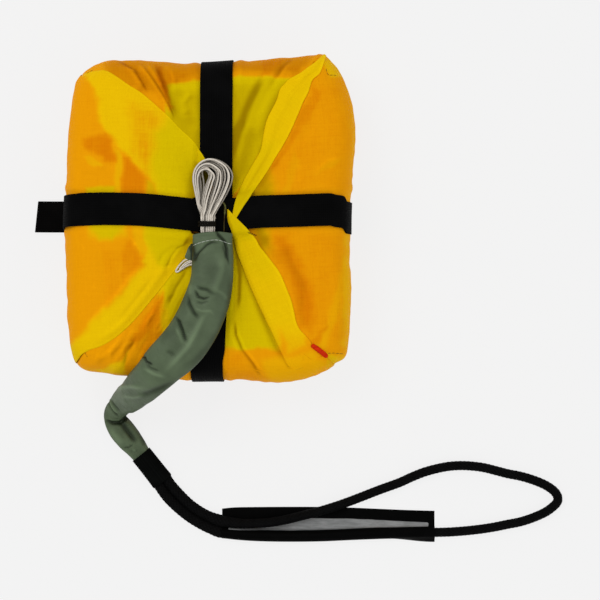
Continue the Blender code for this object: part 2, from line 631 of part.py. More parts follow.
def evenly(points, step):
    """Points about a step apart along a smooth curve through the given ones."""
    curve = spline(points, CURVE_STEPS)
    reach = np.concatenate(([0], np.cumsum(np.linalg.norm(np.diff(curve, axis=0), axis=1))))
    places = np.linspace(0, reach[-1], round(reach[-1] / step) + 1)
    return np.array([np.interp(places, reach, curve[:, axis]) for axis in range(3)]).T


def rope_points():
    """Points along the middle of the rope."""
    return evenly([(x, y, height + ROPE / 2) for x, y, height in ROPE_ROUTE], ROPE_STEP)


def bridle_rope(collection, material):
    """The rope, from the cover round its loop and back to the cover."""
    return add_cord("bridle_rope", rope_points(), ROPE, 3, collection, material)


def bridle_label(collection, material):
    """The label strip: flat, then up over the rope's lower leg and down to the floor."""
    reach = ROPE / 2 + GAP + SLACK
    points = rope_points()
    lower_leg = points[int(np.argmax(points[:, 0])):][::-1]
    rows = []
    for x, back_y in LABEL_EDGE:
        rope_y = np.interp(x, lower_leg[:, 0], lower_leg[:, 1])
        foot = rope_y + reach + LABEL_RISE
        row = [Vector((x, back_y + share * (foot - back_y), 0)) * MM for share in (0, 0.5, 1)]
        for turn in (28, 60, 90, 120, 152):
            lean = radians(turn)
            place = (x, rope_y + reach * cos(lean), ROPE / 2 + reach * sin(lean))
            row.append(Vector(place) * MM)
        row.append(Vector((x, rope_y - reach, LABEL_FOOT)) * MM)
        rows.append(row)
    return add_sheet("bridle_label", rows, lambda point: Vector((0, 0, 1)), LABEL_SHEET,
                     collection, material)


def closing_loop(collection, material):
    """The short piece of thin cord that shows between the hank and the turned edges."""
    xs, _, lifts = zip(*ACROSS_COURSE)
    points = []
    for x, y in CLOSING_LOOP:
        lift = np.interp(x, xs, lifts)
        points.append(drape(x, y, lift + WEBBING + CLOSING_ROOM + CLOSING_CORD / 2) / MM)
    return add_cord("closing_loop", points, CLOSING_CORD, 2, collection, material)


def pull_tab(collection, material):
    """The small red tab on the right flap, beside the turned edge of the front flap."""
    start, end = (Vector(point) for point in TAB_ENDS)
    side = Vector((-(end - start).y, (end - start).x)).normalized() * TAB_WIDTH / 2
    rows = []
    for share in (0, 0.25, 0.5, 0.75, 1):
        middle = start.lerp(end, share)
        rows.append([drape(*(middle + side * way), TAB_LIFT) for way in (-1, 0, 1)])
    return add_sheet("pull_tab", rows, away_from_middle, TAB_SHEET, collection, material)


def main():
    for thing in list(bpy.data.objects):
        bpy.data.objects.remove(thing)
    collection = bpy.data.collections.new("packed_parachute")
    cutters = bpy.data.collections.new("cutters")
    bpy.context.scene.collection.children.link(collection)
    bpy.context.scene.collection.children.link(cutters)

    canopy = principled("canopy_ripstop", (0.78, 0.25, 0.01), 0.6)
    wrap_orange = principled("wrap_ripstop_orange", (0.80, 0.36, 0.01), 0.5)
    wrap_yellow = principled("wrap_ripstop_yellow", (0.76, 0.55, 0.01), 0.5)
    elastic = principled("black_elastic", (0.006, 0.006, 0.007), 0.75)
    lines = principled("line_polyester", (0.56, 0.52, 0.46), 0.7)
    rubber = principled("band_rubber", (0.012, 0.012, 0.012), 0.6)
    sleeve_cloth = principled("sleeve_nylon", (0.10, 0.14, 0.09), 0.45)
    rope_sheath = principled("rope_sheath", (0.008, 0.008, 0.009), 0.7)
    label_film = principled("label_film", (0.01, 0.01, 0.011), 0.4)
    red_cord = principled("tab_red", (0.75, 0.04, 0.01), 0.6)

    canopy_block(collection, cutters, canopy)
    flap("flap_right", FLAP_RIGHT, collection, wrap_orange)
    flap("flap_back", FLAP_BACK, collection, wrap_orange)
    flap("flap_front", FLAP_FRONT, collection, wrap_orange)
    flap("flap_left", FLAP_LEFT, collection, wrap_orange)
    turned_edge("fold_back", FOLD_BACK, collection, wrap_yellow)
    turned_edge("fold_front", FOLD_FRONT, collection, wrap_yellow)
    strap_lengthways(collection, elastic)
    strap_across(collection, elastic)
    line_hank(collection, lines)
    rubber_band(collection, rubber)
    lofted_tube("line_bight", LINE_BIGHT, BIGHT_SIDES, collection, lines)
    closing_loop(collection, lines)
    pull_tab(collection, red_cord)
    lofted_tube("line_sleeve", SLEEVE, SLEEVE_SIDES, collection, sleeve_cloth)
    lofted_tube("bridle_cover", COVER, COVER_SIDES, collection, elastic)
    bridle_rope(collection, rope_sheath)
    bridle_label(collection, label_film)


main()
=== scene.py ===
"""A packed reserve parachute, with a cloth finish on every piece.

Four thin ripstop flaps are wrapped round the folded canopy and meet at the middle of the top.
Two elastic straps cross over and under it. A hank of suspension lines lies on the crossing,
held by a rubber band, and runs into a sleeve that drops over the front edge to the floor. A
braided rope bridle with a film label leaves the end of the sleeve.

The origin is on the flat underside, below the point where the straps cross. Lengths in the
tables are millimetres unless a name says otherwise, and angles are degrees counted from +X
towards +Y. Plan coordinates are x and y seen from above.
"""

from math import cos, hypot, pi, radians, sin, tau

import bmesh
import bpy
import numpy as np
from bpy.props import FloatProperty, FloatVectorProperty, IntProperty, PointerProperty
from bpy.types import Operator, Panel, PropertyGroup
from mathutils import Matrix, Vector
from mathutils.bvhtree import BVHTree
from numpy.linalg import norm


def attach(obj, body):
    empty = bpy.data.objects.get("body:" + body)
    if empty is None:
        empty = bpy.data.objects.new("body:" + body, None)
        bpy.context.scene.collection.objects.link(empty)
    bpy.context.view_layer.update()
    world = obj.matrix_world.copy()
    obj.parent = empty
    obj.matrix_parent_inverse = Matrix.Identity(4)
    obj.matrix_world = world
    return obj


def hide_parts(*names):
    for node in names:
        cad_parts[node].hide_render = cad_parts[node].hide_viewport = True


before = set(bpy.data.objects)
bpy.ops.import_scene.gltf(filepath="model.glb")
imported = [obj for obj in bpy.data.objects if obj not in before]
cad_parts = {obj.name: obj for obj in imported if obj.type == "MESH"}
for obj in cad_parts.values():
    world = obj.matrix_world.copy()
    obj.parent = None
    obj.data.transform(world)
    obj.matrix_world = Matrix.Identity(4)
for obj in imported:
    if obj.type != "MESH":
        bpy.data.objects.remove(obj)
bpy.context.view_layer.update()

bl_info = {
    "name": "Packed parachute",
    "version": (1, 0, 0),
    "blender": (4, 5, 0),
    "location": "3D View > Sidebar > Parachute",
    "description": "Builds the pieces of a packed parachute round its frame",
    "category": "Object",
}

MM = 0.001

# ----- The wrap's own shape -----

WRAP_ALLOWANCE = 2.4   # from the canopy block to the outside of the wrap
OUTLINE = (  # the outside of the wrap in plan, anticlockwise from the right side
    (111.5, -12), (112.5, 22), (115.5, 50), (116.5, 72), (114, 90), (108.5, 105), (104, 115), (98, 123.5),
    (90, 130.5), (84, 129.5), (64, 128.3), (42, 126), (18, 123.5), (-8, 122), (-26, 123.2), (-55, 126),
    (-78, 125.3), (-91, 121), (-100, 113.5), (-106.5, 101), (-110.5, 80), (-113, 54), (-114, 18),
    (-115, -9), (-115, -25), (-114, -57), (-112.5, -84), (-110, -103), (-104.5, -115), (-98, -120.3),
    (-85, -123), (-60, -126.5), (-21, -128.3), (11, -128.3), (36, -130), (56, -131), (76, -129),
    (90, -123), (99, -116), (107.5, -108), (111, -95), (112.5, -80), (113, -49))
OUTLINE_STEPS = 12

# The block's side view: share of the outline's radius, and height. Row 0 is the foot of the
# wall, row 2 its widest place, rows 4 to 6 the shoulder and row 11 the middle of the crown.
PROFILE = ((0.925, 5), (0.975, 16), (1, 34), (0.995, 50), (0.965, 63), (0.91, 71.5), (0.83, 75.5),
    (0.7, 77.5), (0.5, 78.7), (0.3, 79.2), (0.1, 79.4), (0, 79.4))
PROFILE_STEPS = 10
WIDEST_ROW = 2
FOOT_SHARE = 0.885     # the flat underside reaches this far
SLOPE_STEP = 0.15      # how far along the profile its slope is taken
MIDDLE_HEIGHT = 40.0
MEAN_RADIUS = 118       # for lengths round the block
SHOULDER_ROW = 5.4     # row of the profile at which the walls end and the top starts

SEAM_BACK_RIGHT = 55.4
SEAM_BACK_LEFT = 131.6
SEAM_FRONT_LEFT = 227.7
SEAM_FRONT_RIGHT = 310.5
SEAMS = (SEAM_BACK_RIGHT, SEAM_BACK_LEFT, SEAM_FRONT_LEFT, SEAM_FRONT_RIGHT)


def spline(points, steps, closed=False):
    """Points along a smooth curve through all the given ones."""
    rows = np.asarray(points, dtype=float)
    rows = np.vstack((rows[-1:], rows, rows[:2]) if closed else (rows[:1], rows, rows[-1:]))
    before, start, end, after = (part[:, None] for part in (rows[:-3], rows[1:-2], rows[2:-1], rows[3:]))
    t = (np.arange(steps) / steps)[:, None]
    curve = 0.5 * (2 * start + (end - before) * t
                   + (2 * before - 5 * start + 4 * end - after) * t ** 2
                   + (3 * start - before - 3 * end + after) * t ** 3)
    curve = curve.reshape(-1, rows.shape[1])
    return curve if closed else np.vstack((curve, rows[-1:]))


def reach_along(curve):
    """How far along a curve each of its points is."""
    places = curve[:, :3]
    return np.concatenate(([0], np.cumsum(norm(np.diff(places, axis=0), axis=1))))


def evenly(curve, count):
    """The same curve with its points at even distances."""
    reach = reach_along(curve)
    places = np.linspace(0, reach[-1], count)
    return np.array([np.interp(places, reach, column) for column in curve.T]).T


def smooth_curve(points, step, closed=False):
    """Points a step apart along a smooth curve through the given ones."""
    curve = spline(points, OUTLINE_STEPS, closed)
    if closed:
        curve = np.vstack((curve, curve[:1]))
    return evenly(curve, max(int(round(reach_along(curve)[-1] / step)), 2) + 1)


def outline_table():
    """The outline as sorted angles and radii of the canopy block."""
    curve = spline(OUTLINE, OUTLINE_STEPS, closed=True)
    angles = np.degrees(np.arctan2(curve[:, 1], curve[:, 0])) % 360
    order = np.argsort(angles)
    return angles[order], (np.hypot(curve[:, 0], curve[:, 1]) - WRAP_ALLOWANCE)[order]


OUTLINE_ANGLES, OUTLINE_RADII = outline_table()
PROFILE_CURVE = spline(PROFILE, PROFILE_STEPS)
PROFILE_ROWS = np.arange(len(PROFILE_CURVE)) / PROFILE_STEPS


def block_radius(angle):
    """Radius of the canopy block at its widest."""
    return np.interp(np.asarray(angle) % 360, OUTLINE_ANGLES, OUTLINE_RADII, period=360)


def profile_at(row):
    """Share of the radius, and height, at a row of the profile."""
    return (np.interp(row, PROFILE_ROWS, PROFILE_CURVE[:, 0]),
            np.interp(row, PROFILE_ROWS, PROFILE_CURVE[:, 1]))


def wrap_point(angle, row, lift):
    """Points at a lift above the block, from angles and rows of the profile."""
    radius = block_radius(angle)
    share, height = profile_at(row)
    low_share, low_height = profile_at(np.maximum(row - SLOPE_STEP, 0))
    high_share, high_height = profile_at(np.minimum(row + SLOPE_STEP, PROFILE_ROWS[-1]))
    run = (high_share - low_share) * radius
    rise = high_height - low_height
    slope = np.hypot(run, rise)
    reach = share * radius + lift * rise / slope
    turn = np.radians(angle)
    return np.stack((reach * np.cos(turn), reach * np.sin(turn), height - lift * run / slope), -1)


def top_row(share):
    """Row of the profile, above the widest place, at a share of the radius."""
    first = WIDEST_ROW * PROFILE_STEPS
    return np.interp(-share, -PROFILE_CURVE[first:, 0], PROFILE_ROWS[first:])


def plan_place(x, y):
    """Angle and row of the profile of places in plan, on the top of the block."""
    angle = np.degrees(np.arctan2(y, x)) % 360
    return angle, top_row(np.hypot(x, y) / block_radius(angle))


def drape(x, y, lift):
    """Points at a lift above the top of the block, from their places in plan."""
    angle, row = plan_place(np.asarray(x, float), np.asarray(y, float))
    return wrap_point(angle, row, lift)


# ----- Fields over the cloth -----

NOISE_CELLS = 64


def ease(value, low=0.0, high=1.0):
    """0 below low, 1 above high and a smooth rise between them."""
    t = np.clip((value - low) / (high - low), 0, 1)
    return t * t * (3 - 2 * t)


def bell(distance, width):
    """1 at 0, and fading away on both sides of it."""
    return np.exp(-(distance / width) ** 2)


def part_way(start, end, share):
    """A share of the way from one value to another."""
    return start + (end - start) * share


def smoothed(values, reach):
    """Values in a row, each the mean of itself and its neighbours."""
    count = 2 * reach + 1
    return np.convolve(np.pad(values, reach, "edge"), np.ones(count) / count, "valid")


def stacked(*parts):
    """Grids side by side as the coordinates or channels of one."""
    return np.stack(np.broadcast_arrays(*parts), -1)


def bumps(x, y, size, seed):
    """Soft random hills from -1 to 1, about the given size across."""
    table = np.random.default_rng(seed).uniform(-1, 1, (NOISE_CELLS, NOISE_CELLS))
    across, along = x / size, y / size
    i, j = np.floor(across).astype(int), np.floor(along).astype(int)
    s, t = ease(across - i), ease(along - j)
    corner = [table[(i + a) % NOISE_CELLS, (j + b) % NOISE_CELLS] for a in (0, 1) for b in (0, 1)]
    return ((corner[0] * (1 - t) + corner[1] * t) * (1 - s)
            + (corner[2] * (1 - t) + corner[3] * t) * s)


def to_line(x, y, line):
    """Distance to a line in plan, positive on its left, and the share of the way along it."""
    line = np.asarray(line, dtype=float)
    reach = reach_along(line)
    best = np.full(np.shape(x), np.inf)
    signed = np.zeros(np.shape(x))
    along = np.zeros(np.shape(x))
    for start, end, done in zip(line[:-1], line[1:], reach[:-1]):
        step = end[:2] - start[:2]
        size = max(hypot(*step), 1e-6)
        t = np.clip(((x - start[0]) * step[0] + (y - start[1]) * step[1]) / size ** 2, 0, 1)
        distance = np.hypot(x - start[0] - t * step[0], y - start[1] - t * step[1])
        side = step[0] * (y - start[1]) - step[1] * (x - start[0])
        nearer = distance < best
        best = np.where(nearer, distance, best)
        signed = np.where(nearer, np.where(side < 0, -distance, distance), signed)
        along = np.where(nearer, (done + t * size) / reach[-1], along)
    return signed, along


def inside_area(x, y, corners, blur):
    """How far inside an area of the plan each place is: 0 outside, 1 inside, with a soft edge."""
    corners = np.asarray(corners, dtype=float)
    ring = np.vstack((corners, corners[:1]))
    signed, _ = to_line(x, y, ring)
    within = np.zeros(np.shape(x), dtype=bool)
    for (x0, y0), (x1, y1) in zip(ring[:-1], ring[1:]):
        if y0 != y1:
            crosses = (y0 > y) != (y1 > y)
            within ^= crosses & (x < (x1 - x0) * (y - y0) / (y1 - y0) + x0)
    return ease(np.where(within, 1, -1) * np.abs(signed), -blur / 2, blur / 2)


def along_line(x, y, line, left, right, ends=0.12):
    """A soft band along a line: 1 on it, fading over one width on its left and one on its right."""
    signed, along = to_line(x, y, line)
    width = np.where(signed > 0, left, right)
    fade = ease(along, -0.001, ends) * (1 - ease(along, 1 - ends, 1.001))
    return bell(signed, width) * fade


# ----- Meshes -----


def grid_faces(rows, columns, around, first):
    """Corner numbers of the quads between rows of points."""
    index = first + np.arange(rows * columns).reshape(rows, columns)
    if around:
        index = np.hstack((index, index[:, :1]))
    corners = index[:-1, :-1], index[:-1, 1:], index[1:, 1:], index[1:, :-1]
    return np.stack(corners, -1).reshape(-1, 4).tolist()


def listed(grids):
    """One grid or several, always as a list."""
    return [grids] if isinstance(grids, np.ndarray) else grids


def placed(name, data, place=(0, 0, 0)):
    """A new object in the scene."""
    item = bpy.data.objects.new(name, data)
    item.location = place
    bpy.context.scene.collection.objects.link(item)
    return item


def skin(name, grids, around=False, caps=True, weave=None, tints_and_shade=None, middle=(0, 0, MIDDLE_HEIGHT)):
    """A mesh over one or more grids of points: tubes, or sheets that face away from a middle.
    weave is each point's place on its cloth. The tints hold colour shares and painted light: painted
    shade in the fourth channel, and on the sleeve painted highlight in the others."""
    grids = listed(grids)
    faces, first = [], 0
    for grid in grids:
        rows, columns = grid.shape[:2]
        faces += grid_faces(rows, columns, around, first)
        last = first + rows * columns
        if around and caps:
            faces += [list(range(first, first + columns))[::-1], list(range(last - columns, last))]
        first = last
    points = np.vstack([grid.reshape(-1, 3) for grid in grids])
    mesh = bpy.data.meshes.new(name)
    mesh.from_pydata((points * MM).tolist(), [], faces)
    if weave is None:
        weave = [ring_weave(grid) for grid in grids] if around else points
    weave = np.vstack([part.reshape(-1, 3) for part in listed(weave)])
    mesh.attributes.new("weave", "FLOAT_VECTOR", "POINT").data.foreach_set("vector", weave.ravel())
    tints_and_shade = np.zeros((len(points), 4)) if tints_and_shade is None else tints_and_shade
    mesh.attributes.new("tints_and_shade", "FLOAT_COLOR", "POINT").data.foreach_set("color", tints_and_shade.ravel())
    mesh.shade_smooth()
    mesh.update()
    piece = placed(name, mesh)
    if around:
        reshape(piece, lambda shape: bmesh.ops.recalc_face_normals(shape, faces=shape.faces))
    else:
        face_away(mesh, middle)
    return piece


def face_away(mesh, middle):
    """Turns an open sheet's faces away from a point."""
    normals = np.empty(len(mesh.polygons) * 3)
    centres = np.empty(len(mesh.polygons) * 3)
    mesh.polygons.foreach_get("normal", normals)
    mesh.polygons.foreach_get("center", centres)
    outward = centres.reshape(-1, 3) - np.array(middle) * MM
    if (normals.reshape(-1, 3) * outward).sum() < 0:
        mesh.flip_normals()


def reshape(piece, change):
    """Lets a step work on a piece's mesh as a bmesh."""
    shape = bmesh.new()
    shape.from_mesh(piece.data)
    change(shape)
    shape.to_mesh(piece.data)
    shape.free()


def thicken(piece, thickness, offset=1.0):
    """Gives a sheet its thickness, in millimetres."""
    solid = piece.modifiers.new("Thickness", "SOLIDIFY")
    solid.thickness = thickness * MM
    solid.offset = offset
    solid.use_even_offset = False


def tube_frames(path):
    """Level directions across, and directions up, at each point of a path."""
    along = np.vstack((path[1:], path[-1:])) - np.vstack((path[:1], path[:-1]))
    along /= norm(along, axis=1, keepdims=True)
    wide = np.stack((-along[:, 1], along[:, 0], np.zeros(len(path))), -1)
    wide[norm(wide, axis=1) < 1e-4] = (1, 0, 0)
    wide /= norm(wide, axis=1, keepdims=True)
    high = np.cross(wide, along)
    high *= np.where(high[:, 2:] < 0, -1, 1)
    return wide[:, None], high[:, None]


def round_section(sides, squareness=2.0):
    """Across and up shares of a rounded section, each from -1 to 1."""
    turn = tau * (np.arange(sides) + 0.5) / sides
    return (np.abs(np.cos(turn)) ** (2 / squareness) * np.sign(np.cos(turn)),
            np.abs(np.sin(turn)) ** (2 / squareness) * np.sign(np.sin(turn)))


def rings(middle, frames, across, up):
    """Rings of points round a path, from their distances across and up."""
    wide, high = frames
    return middle + wide * across[..., None] + high * up[..., None]


def tube_grid(path, width, height, sides, squareness=2.0):
    """Rings of points round a path, with its full width and height at each point."""
    across, up = round_section(sides, squareness)
    width, height = (np.broadcast_to(size, len(path))[:, None] / 2 for size in (width, height))
    return rings(path[:, None], tube_frames(path), across * width, up * height)


def ring_weave(grid):
    """Place on the cloth of a tube's points: along it, round it."""
    rows, sides = grid.shape[:2]
    along = reach_along(grid.mean(axis=1))[:, None]
    size = norm(np.diff(grid, axis=1, append=grid[:, :1]), axis=2).sum(axis=1).mean()
    return stacked(along, np.arange(sides) / sides * size, 0.0)


def surface_tree(*names):
    """A search tree of the named pieces' faces, modifiers included, in metres."""
    points, faces = [], []
    depsgraph = bpy.context.evaluated_depsgraph_get()
    for name in names:
        mesh = bpy.data.objects[name].evaluated_get(depsgraph).to_mesh()
        first = len(points)
        points += [vertex.co.copy() for vertex in mesh.vertices]
        faces += [[first + corner for corner in face.vertices] for face in mesh.polygons]
    return BVHTree.FromPolygons(points, faces)


def landings(tree, plan):
    """Heights of the highest surface at places in plan, in millimetres."""
    heights = []
    for x, y in plan:
        hit = tree.ray_cast(Vector((x, y, 200)) * MM, Vector((0, 0, -1)))[0]
        if hit is None:
            raise RuntimeError(f"nothing lies below {x:.1f}, {y:.1f}")
        heights.append(hit.z / MM)
    return np.array(heights)


def finish(piece, slot, name, make, *values, node=None):
    """Gives a piece its body and the material of that name, which is made the first time it is asked
    for, and hides the CAD node that it stands for. The slot is not used."""
    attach(piece, "root")
    if node:
        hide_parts(node)
    piece.data.materials.append(bpy.data.materials.get(name) or make(name, *values))


# ----- Finishes -----


class Wire:
    """A node's output, which can be used in sums."""

    def __init__(self, paint, socket):
        self.paint, self.socket = paint, socket

    def sum(self, operation, *values):
        """What an operation gives for one or two values."""
        return self.paint.node("ShaderNodeMath", {"operation": operation}, values)

    def __add__(self, other):
        return self.sum("ADD", self, other)

    def __sub__(self, other):
        return self.sum("SUBTRACT", self, other)

    def __rsub__(self, other):
        return self.sum("SUBTRACT", other, self)

    def __mul__(self, other):
        return self.sum("MULTIPLY", self, other)

    def __truediv__(self, other):
        return self.sum("DIVIDE", self, other)

    def __abs__(self):
        return self.sum("ABSOLUTE", self)

    __radd__, __rmul__ = __add__, __mul__

    def wave(self, pitch):
        """A sine wave from -1 to 1."""
        return self.sum("SINE", self * (tau / pitch))

    def between(self, low, high):
        """0 below low, 1 above high, and a smooth rise between them."""
        return self.paint.node("ShaderNodeMapRange", {"interpolation_type": "SMOOTHSTEP"},
                               {"Value": self, "From Min": low, "From Max": high})


class Paint:
    """One material's nodes, written as sums of wires."""

    def __init__(self, name, roughness, specular, **constants):
        self.material = bpy.data.materials.new(name)
        self.material.use_nodes = True
        self.tree = self.material.node_tree
        self.shader = self.tree.nodes["Principled BSDF"]
        self.set(Roughness=roughness, Specular_IOR_Level=specular, **constants)

    def feed(self, socket, value):
        """Links a wire to a socket, or sets the socket's own value."""
        if isinstance(value, Wire):
            self.tree.links.new(value.socket, socket)
        else:
            socket.default_value = (*value, 1) if socket.type == "RGBA" else value

    def set(self, **sockets):
        """Feeds the shader's sockets."""
        for socket, value in sockets.items():
            self.feed(self.shader.inputs[socket.replace("_", " ")], value)

    def node(self, kind, settings=None, values=(), output=0):
        """A node of any type: its settings first, then the values or links of its sockets."""
        node = self.tree.nodes.new(kind)
        for setting, value in (settings or {}).items():
            setattr(node, setting, value)
        for socket, value in values.items() if isinstance(values, dict) else enumerate(values):
            self.feed(node.inputs[socket], value)
        return Wire(self, node.outputs[output])

    def split(self, kind, wire):
        """The parts of a vector or of a colour."""
        node = self.node(kind, values=(wire,)).socket.node
        return [Wire(self, socket) for socket in node.outputs]

    def tint(self, output="Alpha", name="tints_and_shade"):
        """What the mesh carries: by itself how dark a piece is painted, from 0 to 1, mostly
        painted shade in its folds and hollows.
        """
        return self.node("ShaderNodeAttribute", {"attribute_name": name}, output=output)

    def cloth(self):
        """The place on the cloth in millimetres: as a vector, then along, across and layer."""
        place = self.tint("Vector", "weave")
        return (place, *self.split("ShaderNodeSeparateXYZ", place))

    def noise(self, vector, scale, detail, rough, distortion=0.0, stretch=None):
        """A random value about 0.5, with each axis of its coordinates scaled by the stretch."""
        if stretch:
            vector = self.node("ShaderNodeVectorMath", {"operation": "MULTIPLY"}, (vector, stretch))
        return self.node("ShaderNodeTexNoise", {"noise_dimensions": "3D"},
                         {"Vector": vector, "Scale": scale, "Detail": detail, "Roughness": rough,
                          "Distortion": distortion})

    def mix(self, share, first, second, blend="MIX"):
        """A colour between two."""
        return self.node("ShaderNodeMix", {"data_type": "RGBA", "blend_type": blend},
                         {0: share, 6: first, 7: second}, output=2)

    def shaded(self, share, first, second):
        """A colour times another."""
        return self.mix(share, first, second, "MULTIPLY")

    def relief(self, height, depth, strength):
        """Bump from a height of 0 to 1, the depth in millimetres."""
        self.set(Normal=self.node("ShaderNodeBump", values={
            "Height": height, "Strength": strength, "Distance": depth * MM}))
        return self.material


def threads(along, across, pitch):
    """Height of a plain weave: two families of yarns that pass over and under each other."""
    return along.wave(pitch) * across.wave(pitch) * 0.5 + 0.5


def stripes(wire, pitch, width):
    """1 on the middle of thin lines a pitch apart, 0 between them."""
    middle = abs(wire.sum("FRACT", wire / pitch) - 0.5)
    return 1 - middle.between(0, width / pitch / 2)


def times(colour, share):
    """A colour made darker or lighter."""
    return [min(value * share, 1.0) for value in colour]


def wrap_cloth(name, colours):
    """Thin waxy ripstop. The first three tint channels say how yellow, how lime and how deep the cloth
    looks over what lies under it, the deep one being painted shade in a few zones. The fourth is
    painted shade: above 1 a painted dark shadow, below 0 a painted highlight."""
    paint = Paint(name, 0.5, 0.006, Specular_Tint=(1, 0.74, 0.1))
    yellow, lime, deep = paint.split("ShaderNodeSeparateColor", paint.tint("Color"))
    shade = paint.tint()
    place, along, across, _ = paint.cloth()
    clouds = paint.noise(place, 0.035, 3, 0.55)
    fine = paint.noise(place, 0.16, 3, 0.6)
    streaks = (paint.noise(place, 0.7, 3, 0.6, stretch=(1, 0.07, 1))
               + paint.noise(place, 0.7, 3, 0.6, stretch=(0.07, 1, 1)) - 1)
    drift = (clouds - 0.5) * 0.75 + (fine - 0.5) * 0.30 + streaks * 0.35
    colour = paint.mix((yellow + drift * 0.30).between(0, 1), colours.orange, colours.yellow)
    colour = paint.mix((lime + drift * 0.30).between(0.02, 1), colour, colours.lime)
    colour = paint.mix((deep + drift * 0.85).between(0.05, 1.1), colour, colours.deep_orange)
    # Painted shade from the fourth channel, a near-black painted shadow above 1, a painted highlight below
    # 0.
    colour = paint.shaded(shade.between(0, 1), colour, colours.olive_shade)
    colour = paint.shaded((shade - 1).between(0, 1), colour, (0.16, 0.20, 0.9))
    colour = paint.shaded((0 - shade).between(0, 1), colour, (1.5, 1.6, 1.3))
    grid = across.sum("MAXIMUM", stripes(along, 5.0, 0.9), stripes(across, 5.0, 0.9))
    colour = paint.shaded(grid * 0.05, colour, (0.86, 0.80, 0.70))
    colour = paint.shaded((streaks * 1.6 + 0.25).between(0, 1) * 0.22, colour, (0.80, 0.66, 0.5))
    crinkle = paint.noise(place, 0.22, 3, 0.55, 1.1, (1, 0.55, 1))
    sharp = paint.noise(place, 0.11, 2, 0.5, 1.3, (0.8, 1.1, 1))
    # Painted highlights: thin bright crinkle lines here and there on the cloth.
    crinkle_highlights = (1 - abs(sharp - 0.5).between(0, 0.022)) * fine.between(0.46, 0.62)
    colour = paint.shaded(crinkle_highlights * 0.14, colour, (1.35, 1.45, 2.0))
    fold = paint.noise(place, 0.075, 2, 0.5, 1.6, (0.7, 1.3, 1))
    height = threads(along, across, 0.6) * 0.03 + grid * 0.06 + crinkle * 0.34 + fold * 0.55
    paint.set(Base_Color=colour, Roughness=0.44 + crinkle * 0.16 + grid * 0.05)
    return paint.relief(height, 0.85, 0.75)


def webbing(name, colour, pitch, rib, seed=0.0):
    """Black woven webbing with ribs along it."""
    paint = Paint(name, 0.8, 0.015)
    place, along, across, _ = paint.cloth()
    ribs = across.wave(rib) * 0.5 + 0.5
    picks = along.sum("SINE", along * (tau / pitch) + across.wave(rib) * 1.2) * 0.5 + 0.5
    dust = paint.noise(place, 0.5 + seed, 4, 0.7)
    broad = paint.noise(place, 0.05, 2, 0.5)
    lint = paint.noise(place, 1.4, 2, 0.6, stretch=(1.3, 0.5, 1)).between(0.68, 0.8)
    # Painted shade in the hollows between ribs and picks, with random dust.
    shown = paint.mix(ribs * 0.5 + picks * 0.3 + (dust - 0.5) * 0.6, times(colour, 0.35), colour)
    shown = paint.mix(broad.between(0.35, 0.75) * 0.4, shown, times(colour, 1.5))
    shown = paint.mix(lint * 0.05, shown, (0.06, 0.06, 0.06))
    paint.set(Base_Color=shown, Roughness=0.62 + ribs * 0.12 + (dust - 0.5) * 0.2)
    return paint.relief(ribs * 0.55 + picks * 0.45 + (dust - 0.5) * 0.2, 0.30, 0.8)


def line_finish(name, colour):
    """Pale braided suspension line."""
    paint = Paint(name, 0.7, 0.25, Sheen_Weight=0.1)
    place, along, across, _ = paint.cloth()
    braid = threads(along + across * 0.7, along - across * 0.7, 1.3)
    change = paint.noise(place, 1.0, 3, 0.6, stretch=(0.08, 0.4, 3.1))
    grime = paint.noise(place, 0.3, 3, 0.6).between(0.42, 0.78)
    shown = paint.mix(change.between(0.3, 0.7), colour, times(colour, 1.22))
    shown = paint.shaded(grime * 0.45, shown, (0.62, 0.57, 0.52))
    # Painted shade in the braid's hollows, then the hank's painted shade between its strands.
    shown = paint.shaded((1 - braid) * 0.28, shown, (0.55, 0.51, 0.47))
    shown = paint.shaded(paint.tint(), shown, (0.13, 0.12, 0.10))
    paint.set(Base_Color=shown, Roughness=0.62 + braid * 0.14)
    return paint.relief(braid, 0.16, 0.9)


def sleeve_finish(name, colour):
    """Grey-green coated nylon, soft and slightly glossy, with a fine weave."""
    paint = Paint(name, 0.42, 0.26, Specular_Tint=(0.9, 1, 0.8))
    place, along, across, _ = paint.cloth()
    clouds = paint.noise(place, 0.05, 3, 0.55)
    fine = paint.noise(place, 0.35, 3, 0.6, 0.8, (0.5, 1, 1))
    shown = paint.mix(clouds.between(0.20, 0.80), times(colour, 0.62), times(colour, 1.38))
    shown = paint.mix((fine - 0.5) * 0.7 + 0.5, shown, colour)
    weft = threads(along, across, 1.1)
    # Painted shade in the hollows of the weave.
    shown = paint.shaded((1 - weft) * 0.16, shown, (0.66, 0.70, 0.62))
    crinkle = paint.noise(place, 0.20, 3, 0.55, 1.2, (1.2, 0.6, 1))
    # The sleeve's painted shade, then its painted highlight on the lit ridges.
    shown = paint.shaded(paint.tint(), shown, (0.11, 0.13, 0.10))
    shown = paint.mix(paint.tint("Fac") * 0.62, shown, times(colour, 2.3))
    paint.set(Base_Color=shown, Roughness=0.38 + fine * 0.2)
    return paint.relief(weft * 0.10 + fine * 0.25 + crinkle * 0.65, 0.8, 0.8)


def rope_finish(name, colour):
    """Black braided polyester sheath."""
    paint = Paint(name, 0.6, 0.03)
    place, along, across, raised = paint.cloth()
    yarn = (along + across).wave(0.55) * 0.5 + 0.5
    dust = paint.noise(place, 0.8, 3, 0.7)
    # Painted shade in the hollows between strands, painted highlight on their crowns, with random dust.
    shown = paint.mix(raised * 0.8 + (dust - 0.5) * 0.5, times(colour, 0.2), times(colour, 1.25))
    lint = paint.noise(place, 1.9, 2, 0.6).between(0.70, 0.8)
    shown = paint.mix(lint * 0.06, shown, (0.06, 0.06, 0.06))
    paint.set(Base_Color=shown, Roughness=0.50 + (1 - raised) * 0.25)
    return paint.relief(yarn * 0.6 + dust * 0.4, 0.16, 0.8)


